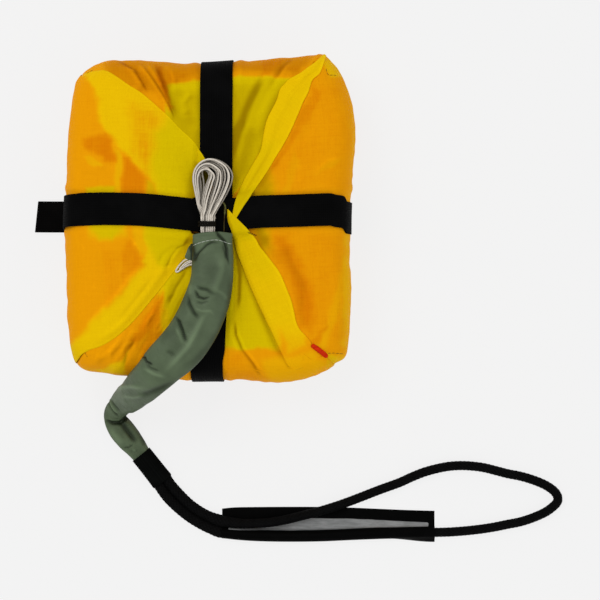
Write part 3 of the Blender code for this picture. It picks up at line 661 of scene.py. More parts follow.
def rubber_finish(name, colour):
    """Matt black rubber."""
    paint = Paint(name, 0.6, 0.05)
    place = paint.tint("Vector", "weave")
    dust = paint.noise(place, 0.9, 4, 0.65)
    streaks = paint.noise(place, 0.8, 2, 0.5, stretch=(0.2, 3, 1))
    shown = paint.mix(dust.between(0.45, 0.8) * 0.25, colour, (0.020, 0.017, 0.013))
    paint.set(Base_Color=shown, Roughness=0.45 + streaks * 0.25)
    return paint.relief(dust * 0.5 + streaks * 0.5, 0.12, 0.6)


def film_finish(name, black, silver):
    """Satin film: black, with a brushed silver band where the tint says so."""
    paint = Paint(name, 0.45, 0.015)
    place = paint.tint("Vector", "weave")
    wear = paint.noise(place, 0.5, 4, 0.65, stretch=(0.25, 1.4, 1))
    scuff = paint.noise(place, 0.12, 3, 0.6).between(0.45, 0.75)
    dark = paint.mix(scuff * 0.5 + (wear - 0.5) * 0.4, black, times(black, 1.8))
    tarnish = paint.mix(wear.between(0.3, 0.7), times(silver, 0.72), silver)
    shade = paint.noise(place, 0.035, 2, 0.5, stretch=(1, 0.2, 1)).between(0.35, 0.65)
    tarnish = paint.shaded(shade * 0.6, tarnish, (0.62, 0.63, 0.62))
    mask = paint.tint("Fac").between(0.35, 0.65)
    paint.set(Base_Color=paint.mix(mask, dark, tarnish), Metallic=mask * 0.35,
              Roughness=0.36 + wear * 0.18 + mask * 0.05)
    return paint.relief(wear * 0.3 + scuff * 0.7, 0.25, 0.5)


def cord_finish(name, colour, other, pitch):
    """Thin twisted thread or ribbon in two close shades."""
    paint = Paint(name, 0.6, 0.06)
    place, along, across, _ = paint.cloth()
    twist = (along + across).wave(pitch) * 0.5 + 0.5
    change = paint.noise(place, 0.35, 3, 0.6)
    shown = paint.mix(change.between(0.35, 0.65), colour, other)
    # Painted shade in the grooves of the twist.
    shown = paint.shaded((1 - twist) * 0.45, shown, (0.5, 0.5, 0.5))
    shown = paint.shaded(paint.tint(), shown, (0.30, 0.16, 0.14))
    paint.set(Base_Color=shown, Roughness=0.5 + twist * 0.2)
    return paint.relief(twist, 0.2, 0.8)


# ----- Sizes and colours that a user would change -----


def size_property(name, description, millimetres):
    """A length, kept in metres."""
    return FloatProperty(name=name, description=description, default=millimetres * MM, min=0,
                         precision=5, unit="LENGTH")


def colour_property(name, description, red, green, blue):
    """A colour, kept in linear values."""
    return FloatVectorProperty(name=name, description=description, default=(red, green, blue),
                               size=3, min=0, max=1, subtype="COLOR")


class ParachuteStage(PropertyGroup):
    """The camera, the floor and the light."""

    camera_height: size_property("Camera height", "Height of the camera above the floor", 2000)
    camera_x: FloatProperty(name="Camera X", description="Place of the camera from the crossing",
                            default=0.072, unit="LENGTH")
    camera_y: FloatProperty(name="Camera Y", description="Place of the camera from the crossing",
                            default=-0.065, unit="LENGTH")
    view_width: size_property("View width", "Width of the floor that the camera sees", 486)
    key_power: FloatProperty(name="Key power", description="Power of the large lamp",
                             default=14.6, min=0, unit="POWER")
    fill_power: FloatProperty(name="Fill power", description="Power of the lamp opposite",
                              default=3.3, min=0, unit="POWER")
    key_size: size_property("Lamp size", "Side of the large square lamps", 1100)
    sky: FloatProperty(name="Sky", description="Strength of the light from all round",
                       default=0.72, min=0)
    backdrop: colour_property("Backdrop", "Colour of the floor and of what lies behind it",
                              0.888, 0.888, 0.888)


class ParachuteSizes(PropertyGroup):
    """Thicknesses, widths and counts."""

    cloth: size_property("Cloth", "Thickness of the wrap cloth, with the coating", 0.35)
    hem: size_property("Turned edge", "Thickness of the turned-over edges", 0.7)
    webbing: size_property("Webbing", "Thickness of the elastic straps", 1.5)
    strap_width: size_property("Strap width", "Width of the elastic straps", 25.2)
    line: size_property("Line", "Diameter of a suspension line", 1.4)
    loops: IntProperty(name="Loops", description="Loops of line in the hank", default=13, min=4)
    closing_cord: size_property("Closing cord", "Diameter of the thin closing cord", 1.2)
    thread: size_property("Thread", "Diameter of the sewing thread", 0.45)
    rope: size_property("Rope", "Diameter of the bridle rope", 7.2)
    strands: IntProperty(name="Strands", description="Strands of the braid, each way",
                         default=8, min=4)
    film: size_property("Label film", "Thickness of the label", 0.4)
    sleeve: size_property("Sleeve cloth", "Thickness of the sleeve's cloth", 0.5)


class ParachuteColours(PropertyGroup):
    """Colours of the cloths and cords."""

    orange: colour_property("Orange", "The ripstop over plain orange layers", 0.86, 0.345, 0.002)
    yellow: colour_property("Yellow", "The ripstop where it lies in a single layer",
                            0.86, 0.545, 0.002)
    lime: colour_property("Lime", "The ripstop over the pale green layer", 0.70, 0.51, 0.001)
    deep_orange: colour_property("Deep orange", "The ripstop over a fold of the canopy",
                                 0.73, 0.205, 0.001)
    olive_shade: colour_property("Olive shade", "What deep folds multiply the cloth by",
                                 0.50, 0.42, 0.20)
    elastic: colour_property("Elastic", "The black elastic straps", 0.0032, 0.0032, 0.0033)
    cover: colour_property("Cover", "The black webbing cover of the bridle", 0.0036, 0.0040, 0.0038)
    line: colour_property("Line", "The suspension lines", 0.76, 0.70, 0.61)
    sleeve: colour_property("Sleeve", "The grey-green sleeve", 0.085, 0.118, 0.065)
    rope: colour_property("Rope", "The rope's black sheath", 0.0034, 0.0034, 0.0035)
    rubber: colour_property("Rubber", "The band round the lines", 0.0050, 0.0040, 0.0026)
    film: colour_property("Film", "The black of the label", 0.0016, 0.0016, 0.0016)
    silver: colour_property("Silver", "The label's silver band", 0.345, 0.350, 0.350)
    cord: colour_property("Closing cord", "The thin olive cord", 0.20, 0.22, 0.06)
    tab: colour_property("Tab", "The small red tab", 0.86, 0.034, 0.002)
    white_thread: colour_property("White thread", "Stitches on the sleeve", 0.62, 0.66, 0.58)
    dark_thread: colour_property("Dark thread", "Stitches at the corner seams", 0.30, 0.15, 0.008)


# ----- Stage -----

FLOOR_SIZE = 4.0           # metres, from the middle to an edge
FLOOR_GLOW = 0.90          # share of the floor's brightness that shadows don't touch
SENSOR = 36.0              # millimetres
KEY_PLACE = (-0.85, 0.70, 1.95)   # metres
KEY_AIM = (0.04, -0.06, 0.03)
FILL_PLACE = (0.95, -1.05, 1.10)  # metres


def build_stage(stage):
    """Floor, light and camera."""
    scene = bpy.context.scene
    scene.view_settings.view_transform = "Standard"
    shape = bmesh.new()
    bmesh.ops.create_grid(shape, x_segments=1, y_segments=1, size=FLOOR_SIZE)
    mesh = bpy.data.meshes.new("floor")
    shape.to_mesh(mesh)
    shape.free()
    placed("floor", mesh, (0, 0, -0.0002))

    paint = Paint("studio_floor", 0.9, 0.0, Base_Color=stage.backdrop)
    glow = paint.node("ShaderNodeEmission", values={"Color": stage.backdrop, "Strength": 1.02})
    both = paint.node("ShaderNodeMixShader",
                      values=(FLOOR_GLOW, Wire(paint, paint.shader.outputs[0]), glow))
    paint.feed(paint.tree.nodes["Material Output"].inputs["Surface"], both)
    mesh.materials.append(paint.material)

    scene.world = bpy.data.worlds.new("studio")
    scene.world.use_nodes = True
    tree = scene.world.node_tree
    background = tree.nodes["Background"]
    background.inputs["Color"].default_value = (*stage.backdrop, 1)
    rays = tree.nodes.new("ShaderNodeLightPath")
    strength = tree.nodes.new("ShaderNodeMapRange")
    strength.inputs["To Min"].default_value = stage.sky
    tree.links.new(rays.outputs["Is Camera Ray"], strength.inputs["Value"])
    tree.links.new(strength.outputs[0], background.inputs["Strength"])

    for name, place, power in (("key", KEY_PLACE, stage.key_power),
                               ("fill", FILL_PLACE, stage.fill_power)):
        light = bpy.data.lights.new(name, "AREA")
        light.energy = power
        light.shape = "SQUARE"
        light.size = stage.key_size
        lamp = placed(name, light, place)
        lamp.rotation_euler = (Vector(KEY_AIM) - Vector(place)).to_track_quat("-Z", "Y").to_euler()

    view = bpy.data.cameras.new("camera")
    view.sensor_width = SENSOR
    view.lens = SENSOR * stage.camera_height / stage.view_width
    view.clip_end = 50
    scene.camera = placed("camera", view, (stage.camera_x, stage.camera_y, stage.camera_height))


# ----- Bridle: rope, cover and label -----

# The rope's route in metres: x, y and the height of its underside above the floor.
ROPE_ROUTE = ((-0.0382, -0.2067, 0.0008), (-0.0353, -0.2104, 0.0006), (-0.0324, -0.2146, 0.0003),
    (-0.0262, -0.2216, 0), (-0.0182, -0.2295, 0), (-0.0097, -0.2357, 0), (-0.0012, -0.2402, 0.0003),
    (0.0084, -0.2434, 0.0016), (0.02, -0.2452, 0.0016), (0.032, -0.2456, 0.0016), (0.046, -0.2449, 0.0016),
    (0.06, -0.2426, 0.0016), (0.074, -0.2392, 0.0016), (0.088, -0.2356, 0.0016), (0.104, -0.2306, 0.0016),
    (0.12, -0.2248, 0.0004), (0.136, -0.2186, 0), (0.152, -0.2128, 0), (0.162, -0.2083, 0),
    (0.172, -0.2043, 0), (0.182, -0.2015, 0), (0.1917, -0.1996, 0), (0.2014, -0.1989, 0),
    (0.2111, -0.1993, 0), (0.2208, -0.2006, 0), (0.2305, -0.203, 0), (0.2402, -0.2055, 0),
    (0.2499, -0.2074, 0), (0.2596, -0.2102, 0), (0.2693, -0.2141, 0), (0.2765, -0.2187, 0),
    (0.2801, -0.2235, 0), (0.2799, -0.2284, 0), (0.2752, -0.2332, 0), (0.2693, -0.2371, 0),
    (0.2596, -0.2413, 0), (0.2499, -0.2444, 0), (0.2402, -0.2463, 0), (0.2305, -0.2483, 0),
    (0.2208, -0.2499, 0), (0.2111, -0.2511, 0), (0.2014, -0.252, 0), (0.19, -0.2527, 0),
    (0.172, -0.253, 0), (0.152, -0.2532, 0), (0.132, -0.2538, 0), (0.112, -0.2546, 0), (0.09, -0.2556, 0),
    (0.068, -0.2559, 0), (0.046, -0.2557, 0), (0.028, -0.2549, 0), (0.01, -0.253, 0), (0, -0.2498, 0),
    (-0.008, -0.246, 0), (-0.0175, -0.2401, 0), (-0.0264, -0.233, 0), (-0.0342, -0.2254, 0.0001),
    (-0.0389, -0.2193, 0.0003), (-0.0415, -0.2153, 0.0006), (-0.0444, -0.2116, 0.0008))
ROPE_RING_STEP = 0.75  # between two rings of the rope's mesh
ROPE_SIDES = 32
ROPE_CORE = 0.91       # share of the rope's radius below the strands
ROPE_CROWN = 1.07      # share of it to which the strands rise
ROPE_LAY = 1.15        # length of one turn of a strand, as a share of the rope's girth
ROPE_SQUEEZE = 0.17    # how much wider and lower the two legs are side by side
COVER = (  # stations of the cover: x, y, height, width, thickness
    (-56.4, -189.7, 5.2, 17.4, 9.6), (-51.5, -195.8, 4.9, 17.4, 9.2), (-44.5, -204.7, 4.8, 17.6, 9),
    (-38.6, -212.2, 4.8, 18.2, 9))
COVER_SIDES = 56
LABEL_EDGE = (  # the label's back edge: x, y
    (8.9, -233.9), (20, -232.9), (40, -232.6), (60, -232.5), (80, -232.5), (100, -232.7), (120, -233.4),
    (140, -234.3), (160, -235.1), (180.9, -235.7))
SILVER_BAND = (  # its corners in plan
    (14, -243.2), (45, -242.4), (84, -241.8), (108, -242), (129, -242.8), (150, -244), (175.4, -245.1),
    (175.9, -245.6), (175.9, -248), (175.4, -248.5), (129, -249.4), (108, -250.5), (88, -251.3),
    (64, -251.7), (23, -251), (14, -250.4))


def rope_path(radius):
    """The middle of the rope, closely spaced, in millimetres."""
    points = np.array(ROPE_ROUTE) / MM
    points[:, 2] += radius
    return smooth_curve(points, ROPE_RING_STEP)


def build_rope(sizes, colours):
    """The rope's braided sheath: strands that wind both ways, over and under each other."""
    radius = sizes.rope / MM / 2
    path = rope_path(radius)
    turn = np.arange(ROPE_SIDES) / ROPE_SIDES
    along = reach_along(path)[:, None]
    wound = along / (tau * radius * ROPE_LAY)
    first, second = sizes.strands * (turn + wound), sizes.strands * (turn - wound)
    over = (np.floor(first) + np.floor(second)) % 2 == 0
    first, second = np.sin(pi * (first % 1)), np.sin(pi * (second % 1))
    crown, dive = np.where(over, second, first), np.where(over, first, second)
    height = crown ** 0.6 * (0.45 + 0.55 * dive ** 0.5)
    reach = radius * (ROPE_CORE + (ROPE_CROWN - ROPE_CORE) * height)
    x = path[:, :1]
    squeeze = ROPE_SQUEEZE * (1 - ease(x, 9, 32)) + 0.12 * bell(x - 6, 5)
    grid = rings(path[:, None], tube_frames(path), np.cos(tau * turn) * reach * (1 + squeeze),
                 np.sin(tau * turn) * reach * (1 - squeeze))
    grid[..., 2] = np.maximum(grid[..., 2], 0.03)
    rope = skin("bridle_rope_sheath", grid, around=True,
                weave=stacked(along, turn * tau * radius, height))
    finish(rope, "rope_sheath", "braided_sheath", rope_finish, colours.rope, node="bridle_rope")


def build_cover(sizes, colours):
    """The webbing cover over the rope's two ends, with a worn end at the rope's side."""
    stations = smooth_curve(COVER, 0.5)[:, None]
    across, up = round_section(COVER_SIDES, 2.6)
    row, turn = np.arange(len(stations))[:, None], np.arange(COVER_SIDES)
    share = np.linspace(0, 1, len(stations))[:, None]
    waist = 1 - 0.16 * share * bell(across, 0.30)
    ribs = 0.10 * np.cos(pi * turn) + 0.09 * np.cos(row * pi / 2) * np.cos(pi * turn)
    tuck = 1 - 0.10 * ease(share, 0.955, 1.0)
    width = (stations[..., 3] / 2 + ribs) * tuck
    height = (stations[..., 4] / 2 + ribs) * waist * tuck
    grid = rings(stations[..., :3], tube_frames(stations[:, 0, :3]), across * width, up * height)
    grid[..., 2] = np.maximum(grid[..., 2], 0.05)
    middle = grid[-1].mean(axis=0)
    grid = np.concatenate((grid, [middle + (grid[-1] - middle) * 0.86]))
    cover = skin("bridle_cover_webbing", grid, around=True)
    finish(cover, "elastic_webbing", "cover_webbing", webbing, colours.cover, 1.3, 1.5, 0.2,
           node="bridle_cover")


LABEL_BACK = 22        # columns from the label's back edge to where it meets the rope
LABEL_ARC = 20         # columns over the rope
LABEL_LEAVES = 158     # degrees at which it leaves the rope
LABEL_FLARE = 3.3      # how far its front edge stands away from the rope at the right


def build_label(sizes, colours):
    """The film label: flat, then up over the rope's lower leg and down to the floor."""
    radius = sizes.rope / MM / 2
    reach = radius + 0.75
    path = rope_path(radius)
    lower_leg = path[int(np.argmax(path[:, 0])):][::-1]
    x, edge_y = smooth_curve(LABEL_EDGE, 1.0).T
    rope_y = smoothed(np.interp(x, lower_leg[:, 0], lower_leg[:, 1]), 6)
    foot = rope_y + reach + 0.9
    columns = []
    for share in np.linspace(0, 1, LABEL_BACK):
        lift = 0.45 + 0.25 * bumps(x, share * 9, 17, 5) + 0.12 * bumps(x, share * 7, 6, 6)
        columns.append((edge_y + share * (foot - edge_y),
                        np.maximum(lift, 0.22) + 0.5 * ease(share, 0.8, 1)))
    for turn in np.linspace(20, LABEL_LEAVES, LABEL_ARC):
        columns.append((rope_y + reach * cos(radians(turn)),
                        radius + reach * sin(radians(turn)) + 0.12 * bumps(x, turn * 0.1, 9, 7)))
    flare = LABEL_FLARE * ease(x, 140, 181)
    for share in (0.35, 0.7, 1.0):
        height = radius + reach * sin(radians(LABEL_LEAVES)) * (1 - share) - (radius - 0.65) * share
        columns.append((rope_y - reach - 0.15 * share - flare * share, height + 0 * x))
    y, z = (np.stack(part, 1) for part in zip(*columns))
    grid = stacked(x[:, None], y, z)
    band = inside_area(grid[..., 0], y, SILVER_BAND, 0.9)
    label = skin("bridle_label_film", grid, tints_and_shade=stacked(band, band, band, 1.0),
                 middle=(80, -240, -200))
    thicken(label, sizes.film / MM, 0.0)
    finish(label, "label_film", "satin_film", film_finish, colours.film, colours.silver,
           node="bridle_label")
    depth = float(norm(np.diff(grid, axis=1), axis=2).sum(axis=1).mean())


# ----- Wrap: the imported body, four flaps and two turned-over edges -----

# Heights above the block of the inner faces of the layers, along its normal.
LIFT_UNDER = 1.0
LIFT_MIDDLE = 2.6
LIFT_OVER = 4.2
LIFT_WALL_STRAP = 2.3
LIFT_WALL_LEFT = 1.3   # where the strap pulls the left wall in
LIFT_LENGTHWAYS = 4.5
LIFT_ACROSS_LEFT = 6.1
SHOULDER_SLACK = 0.6
LAYER_STEP = 0.55      # least distance between two sheets that lie on each other
STRAP_SINK = 0.7       # how far below a strap's inner face the cloth under it stays
PUFF = 0.9             # what the cloth swells beside a strap
CORNER_PUFF = (108, -109, 9, 2.3)  # x, y, reach and height of the fullness at the front right

LENGTHWAYS_COURSE = (  # y, x of the middle of the strap from front to back
    (-130, -0.8), (-105, 0.8), (-84, 1.9), (-40, 5), (5, 7), (50, 6.9), (130, 6.9))
ACROSS_COURSE = (  # x, y of the middle of the strap from left to right, lift
    (-100, 5.2, 6.1), (-80, 5.9, 6.1), (-55, 5.3, 8.2), (-38, 4, 8.6), (-8, 0.7, 8.6), (10, 0.5, 8.6),
    (16, 1.1, 7.6), (20, 1.4, 6.8), (25, 2, 5.4), (30, 2.6, 4.2), (40, 3.6, 3), (70, 4.5, 2.9),
    (95, 5.5, 2.9))
LENGTHWAYS_YS, LENGTHWAYS_XS = zip(*LENGTHWAYS_COURSE)
ACROSS_XS, ACROSS_YS, ACROSS_LIFTS = zip(*ACROSS_COURSE)
HALF_STRAP = 12.6


def beside_lengthways(x, y):
    """Distance from the edge of the strap from front to back, negative under it."""
    return np.abs(x - np.interp(y, LENGTHWAYS_YS, LENGTHWAYS_XS)) - HALF_STRAP


def beside_across(x, y):
    """Distance from the edge of the strap from left to right, negative under it."""
    return np.abs(y - np.interp(x, ACROSS_XS, ACROSS_YS)) - HALF_STRAP


def across_lift(x):
    """Lift of the strap from left to right."""
    return np.interp(x, ACROSS_XS, ACROSS_LIFTS)


def towards_strap(own, beside, strap_lift):
    """A sheet's lift, swelling on its way under a strap."""
    under = strap_lift - STRAP_SINK - own
    return (own + under * (1 - ease(beside, 3, 36)) * (under > 0)
            + PUFF * bell(beside - 5.0, 3.6) * ease(beside, 0, 3))


def packed_relief(x, y):
    """The soft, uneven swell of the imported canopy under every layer."""
    rim = ease(np.hypot(x, y) / block_radius(np.degrees(np.arctan2(y, x))), 0.86, 1.0)
    swell = 0.85 * bumps(x, y, 58, 11) + 0.45 * bumps(x, y, 27, 12) + 0.20 * bumps(x, y, 12, 13)
    calm = ease(np.minimum(beside_lengthways(x, y), beside_across(x, y)), -4, 10)
    corner_x, corner_y, reach, height = CORNER_PUFF
    puff = height * bell(np.hypot(x - corner_x, y - corner_y), reach)
    return swell * (0.25 + 0.75 * calm) * (1 - 0.6 * rim) + puff


# Folds of each layer: the line in plan, its height, and its width on the left and on the
# right of the line's direction.
BACK_FOLDS = (
    (((-74, 125), (-66, 119.5), (-61, 116), (-56.5, 113.5), (-53, 109), (-49, 102.5), (-45, 94)), -1.5,
     2.4, 1.2),
    (((-66, 117.5), (-58, 112), (-54, 106.5), (-50, 99)), 0.7, 1.2, 2.2),
    (((-53, 119.5), (-47.5, 111.5), (-43.4, 106.5), (-38.8, 99.8), (-33.3, 90.2), (-29, 82), (-25, 74)),
     1.9, 1, 3),
    (((-46.5, 118), (-41, 110), (-37.5, 104.5), (-33, 98)), 0.8, 1, 1.4),
    (((-41, 118), (-36, 108), (-32.5, 99), (-30, 91), (-27, 82), (-24, 74)), -1.3, 2.8, 1.2),
    (((-34, 118), (-27.5, 111), (-23.5, 102)), 0.5, 2.2, 1.6),
    (((47, 114), (42.6, 105.5), (37.9, 95.4), (34.4, 88.5), (31.3, 80.7), (29.1, 73.7), (25.1, 62.9),
     (22.4, 51.3), (20.5, 38)), -2, 3.4, 3.6),
    (((44, 112), (38, 98), (30, 84), (24, 66)), 0.9, 5, 5),
    (((66, 127), (59.5, 117), (53.5, 106.5), (49, 99)), -1.1, 1.8, 3),
    (((60, 106), (50, 90), (43, 74), (38, 58)), 0.9, 4, 5),
    (((-12, 96), (-18, 88), (-15, 78)), 0.7, 2.5, 2.5),
    (((-24, 100), (-12, 84), (-8, 66)), -0.6, 3, 4))
# Tints of each layer: channel, share, blur, corners; shade zones are painted shade.
BACK_TINTS = (
    ("lime", 0.95, 4, ((-33, 101.5), (-24, 102.5), (-2, 104), (3, 45), (-12.5, 50), (-28, 60), (-34, 72),
     (-32, 86.5), (-30.5, 95.5))),
    ("yellow", 0.9, 4, ((-31.5, 101), (-24, 102.5), (-2.5, 104), (0.5, 45), (-12.5, 50), (-28, 60),
     (-34, 72), (-29.5, 86.5), (-31, 95.5))),
    ("shade", 0.38, 12, ((-31.5, 99), (-2, 99), (3, 40), (-28, 60))),
    ("shade", 0.46, 16, ((-31.5, 84), (-2, 80), (3, 40), (-28, 56))),
    # Painted shade on the back flap's left and on its rim at the right, where the deep zone is painted
    # shade too.
    ("shade", 0.42, 9, ((-80, 135), (-80, 110), (-40, 92), (-34, 84), (-26, 102), (-2, 104), (-2, 135))),
    ("deep", 0.42, 9, ((-80, 135), (-80, 110), (-40, 92), (-34, 84), (-26, 102), (-2, 104), (-2, 135))),
    ("shade", 0.44, 7, ((12, 135), (12, 110), (70, 110), (92, 135))),
    ("deep", 0.45, 7, ((12, 135), (12, 112), (70, 112), (92, 135))),
    # Painted shade on the side of a pleat that faces away from the light.
    ("deep", 0.8, 5, ((-41.5, 121), (-33, 116), (-29.5, 98.5), (-26, 84), (-30, 80), (-38, 100))),
    ("deep", 0.5, 6, ((-74, 121), (-48, 122), (-40, 96), (-48, 94), (-60, 106))),
    ("lime", 0.95, 5, ((12, 107.5), (39.5, 108), (44, 106), (52, 108), (66, 108), (60, 98), (52, 80),
     (44, 54), (30, 25), (12, 10))),
    ("yellow", 0.9, 5, ((12, 107), (66, 108), (60, 98), (52, 80), (44, 54), (30, 25), (12, 10))),
    ("shade", 0.4, 12, ((12, 102), (66, 106), (60, 98), (52, 80), (44, 54), (30, 25), (12, 10))),
    ("shade", 0.62, 22, ((10, 74), (42, 74), (38, 44), (28, 22), (10, 6))),
    ("deep", 0.6, 5, ((40, 126), (62, 125), (57, 117), (47.5, 107), (41.5, 108))),
    ("shade", 0.34, 16, ((20, 62), (40, 62), (36.5, 41), (27.5, 25.5), (18, 8))))
# Shades of each layer: line, painted shade (below 0 painted highlight), widths left and right.
BACK_SHADES = (
    (((-73, 124), (-66, 119.5), (-61, 116), (-56.5, 113.5), (-52.5, 109)), 0.75, 1.1, 0.9),
    (((-59, 114.5), (-53.5, 109), (-50, 104), (-45, 95)), 0.42, 3, 1.2),
    (((-65, 116.5), (-58.5, 111.5), (-54.5, 106), (-50.5, 99)), -0.3, 0.9, 1.8),
    (((-54, 121), (-49.5, 114.5), (-45, 109), (-40.5, 102.5), (-35, 93)), 0.4, 0.9, 0.8),
    (((-55, 120.5), (-48, 111.5), (-43.8, 106.3), (-39.2, 99.6), (-33.8, 90), (-29.5, 81.8), (-26.5, 76)),
     -0.42, 0.7, 1.1),
    (((-42, 118), (-36, 108), (-32, 99), (-29.3, 91), (-26.5, 83), (-23, 73)), 0.78, 2.8, 1.1),
    (((-47, 118), (-42, 111), (-38, 104.5), (-34.5, 99)), -0.26, 1, 1),
    (((-34, 117), (-28.5, 111.5), (-25, 103.5)), -0.22, 1.4, 1.2),
    (((-57, 101), (-48, 92.5), (-38, 84), (-30, 76)), 0.28, 2.2, 3.2),
    (((46, 110), (42.6, 105.5), (37.9, 95.4), (34.4, 88.5), (31.3, 80.7), (29.1, 73.7), (25.1, 62.9),
     (22.4, 51.3), (20.5, 36)), 0.5, 3.2, 5),
    (((20, 100), (24, 84), (22, 66), (20, 46)), 0.2, 3, 4),
    (((52, 104), (46, 92), (41, 80), (38, 66)), -0.16, 4, 3),
    (((62, 106), (55, 92), (50, 78), (46, 62), (40, 44), (30, 22)), 0.3, 3, 3.4),
    (((66, 125), (59.5, 117), (53.5, 106.5)), 0.5, 2, 2),
    (((0, 101), (0, 48)), 0.25, 4, 4))
FRONT_FOLDS = (
    (((17.5, -14), (19.5, -30), (21.5, -46.5), (20.5, -63.5), (18.5, -78.5), (19.5, -91.5), (25, -103),
     (34, -113), (42.5, -127)), 1.7, 2.6, 1.8),
    (((18, -14), (19.5, -34), (19.5, -52), (18, -70), (17.5, -92), (22, -106), (31, -117)), -1, 2.2, 2.2),
    (((23.5, -19.5), (29, -43), (36.5, -63), (44.5, -80.5), (51, -97), (57.5, -110), (63, -120)), -1.5,
     1.8, 3.4),
    (((-55.5, -91), (-58, -99.5), (-62.5, -106), (-64.5, -117.5)), -1.1, 1.8, 2.4),
    (((-62.5, -88), (-69, -100), (-79.5, -107.5), (-90, -113)), 1, 2.6, 2.6),
    (((-36, -62), (-44, -78), (-54, -92), (-66, -102)), 0.8, 3, 4),
    (((-25, -44), (-31, -58), (-35, -74), (-38, -90)), 0.7, 2, 2.4),
    (((-14, -40), (-19, -48), (-24, -56), (-30, -70)), -0.9, 1.6, 2),
    (((-45, -96), (-50, -108), (-52, -120)), 0.7, 2.4, 2.4))
FRONT_TINTS = (
    ("yellow", 0.9, 6, ((-33, -32), (-8, -28), (-8, -90), (-36, -90), (-38, -68), (-40, -56))),
    ("lime", 0.8, 8, ((-33, -32), (-10, -30), (-10, -86), (-30, -84), (-34, -68), (-36, -50))),
    ("deep", 0.55, 6, ((-36, -80), (-33, -92), (-41, -106), (-50, -114), (-54, -110), (-49, -98),
     (-42, -84))),
    ("yellow", 0.85, 4, ((-88, -118), (-65.5, -110.5), (-61.5, -104), (-63, -118), (-66.5, -122),
     (-84, -122))),
    ("yellow", 0.45, 5, ((-100, -116), (-82, -119), (-60, -121), (-60, -128), (-98, -128))),
    ("shade", 0.2, 4, ((-96, -119), (-60, -124), (-20, -126), (-20, -131), (-98, -128))),
    ("yellow", 0.95, 9, ((10, -14), (24, -14), (34, -45), (40, -63.5), (48, -81), (56, -98), (57, -104),
     (38.5, -100), (26, -103), (10, -99))),
    ("lime", 0.95, 9, ((10, -14), (24, -14), (34, -45), (40, -63.5), (48, -81), (54, -97), (54, -104),
     (38.5, -101), (26, -104), (10, -101))),
    ("yellow", 0.42, 8, ((40, -112), (60, -106), (84, -104), (92, -116), (76, -131), (50, -131))),
    ("deep", 0.35, 7, ((12, -106), (24, -106), (44, -128), (20, -131), (12, -128))),
    ("deep", 0.75, 7, ((-35, -58), (-49, -80), (-62, -97), (-54, -101), (-41, -88), (-33, -72))),
    ("yellow", 0.55, 6, ((57, -84), (72, -86), (77, -101), (62, -105))),
    ("lime", 0.55, 4, ((91, -109), (101, -112), (98, -121), (89, -119))))
FRONT_SHADES = (
    (((55, -101), (60, -110), (65, -120)), 0.6, 1.2, 1.8),
    (((20, -12), (23.5, -26), (27.5, -37), (34, -54), (42, -74.5), (50, -92), (57, -108), (64, -120)),
     0.66, 2.1, 3),
    (((20, -12), (23, -28), (25.2, -46), (24.8, -62), (23.5, -76)), 0.78, 1.8, 1.3),
    (((20.5, -16), (20.8, -38), (20.5, -60), (18, -84)), -0.3, 1.3, 2),
    (((21.4, -78), (22.4, -92), (27, -103), (35, -113), (43, -126)), 0.7, 0.8, 1.6),
    (((23, -78), (24.2, -91), (29, -102), (37, -112), (45, -125)), -0.34, 1.3, 0.8),
    (((30, -112), (40, -122), (48, -127)), 0.2, 1.2, 1.8),
    (((56, -101), (64, -112), (69, -121)), -0.2, 1.4, 1),
    (((72, -98), (74.5, -106), (73.5, -113)), 0.24, 1.2, 1.2),
    (((66, -98), (70, -106), (71, -116)), -0.14, 1.2, 1.2),
    (((-14, -40), (-19, -48), (-23.5, -55), (-28, -63), (-31, -72)), 0.45, 1.6, 2.2),
    (((-13, -50), (-18, -60), (-22.5, -68), (-27, -78), (-33, -88)), 0.5, 2.4, 1.4),
    (((-56, -91), (-58.5, -99.5), (-62.5, -106), (-64.5, -117.5)), 0.28, 2, 2))
RIGHT_FOLDS = (
    (((83.5, 32.5), (92.5, 42.5), (104, 45)), 0.6, 4, 3),
    (((66, 48), (62, 34), (58, 20)), 0.5, 4, 4),
    (((62, -20), (72, -40), (79, -60), (81, -80)), -0.9, 5, 6),
    (((80, -62), (88, -78), (90, -94)), 0.7, 4, 4),
    (((98, -20), (101, -60), (98, -92)), 0.6, 5, 5),
    (((95, 104), (103, 84), (104, 60)), 0.6, 6, 5),
    (((45, -14), (52, -30), (56, -42)), -0.6, 3, 3),
    (((86, 88), (80, 70), (70, 52)), -0.5, 4, 4))
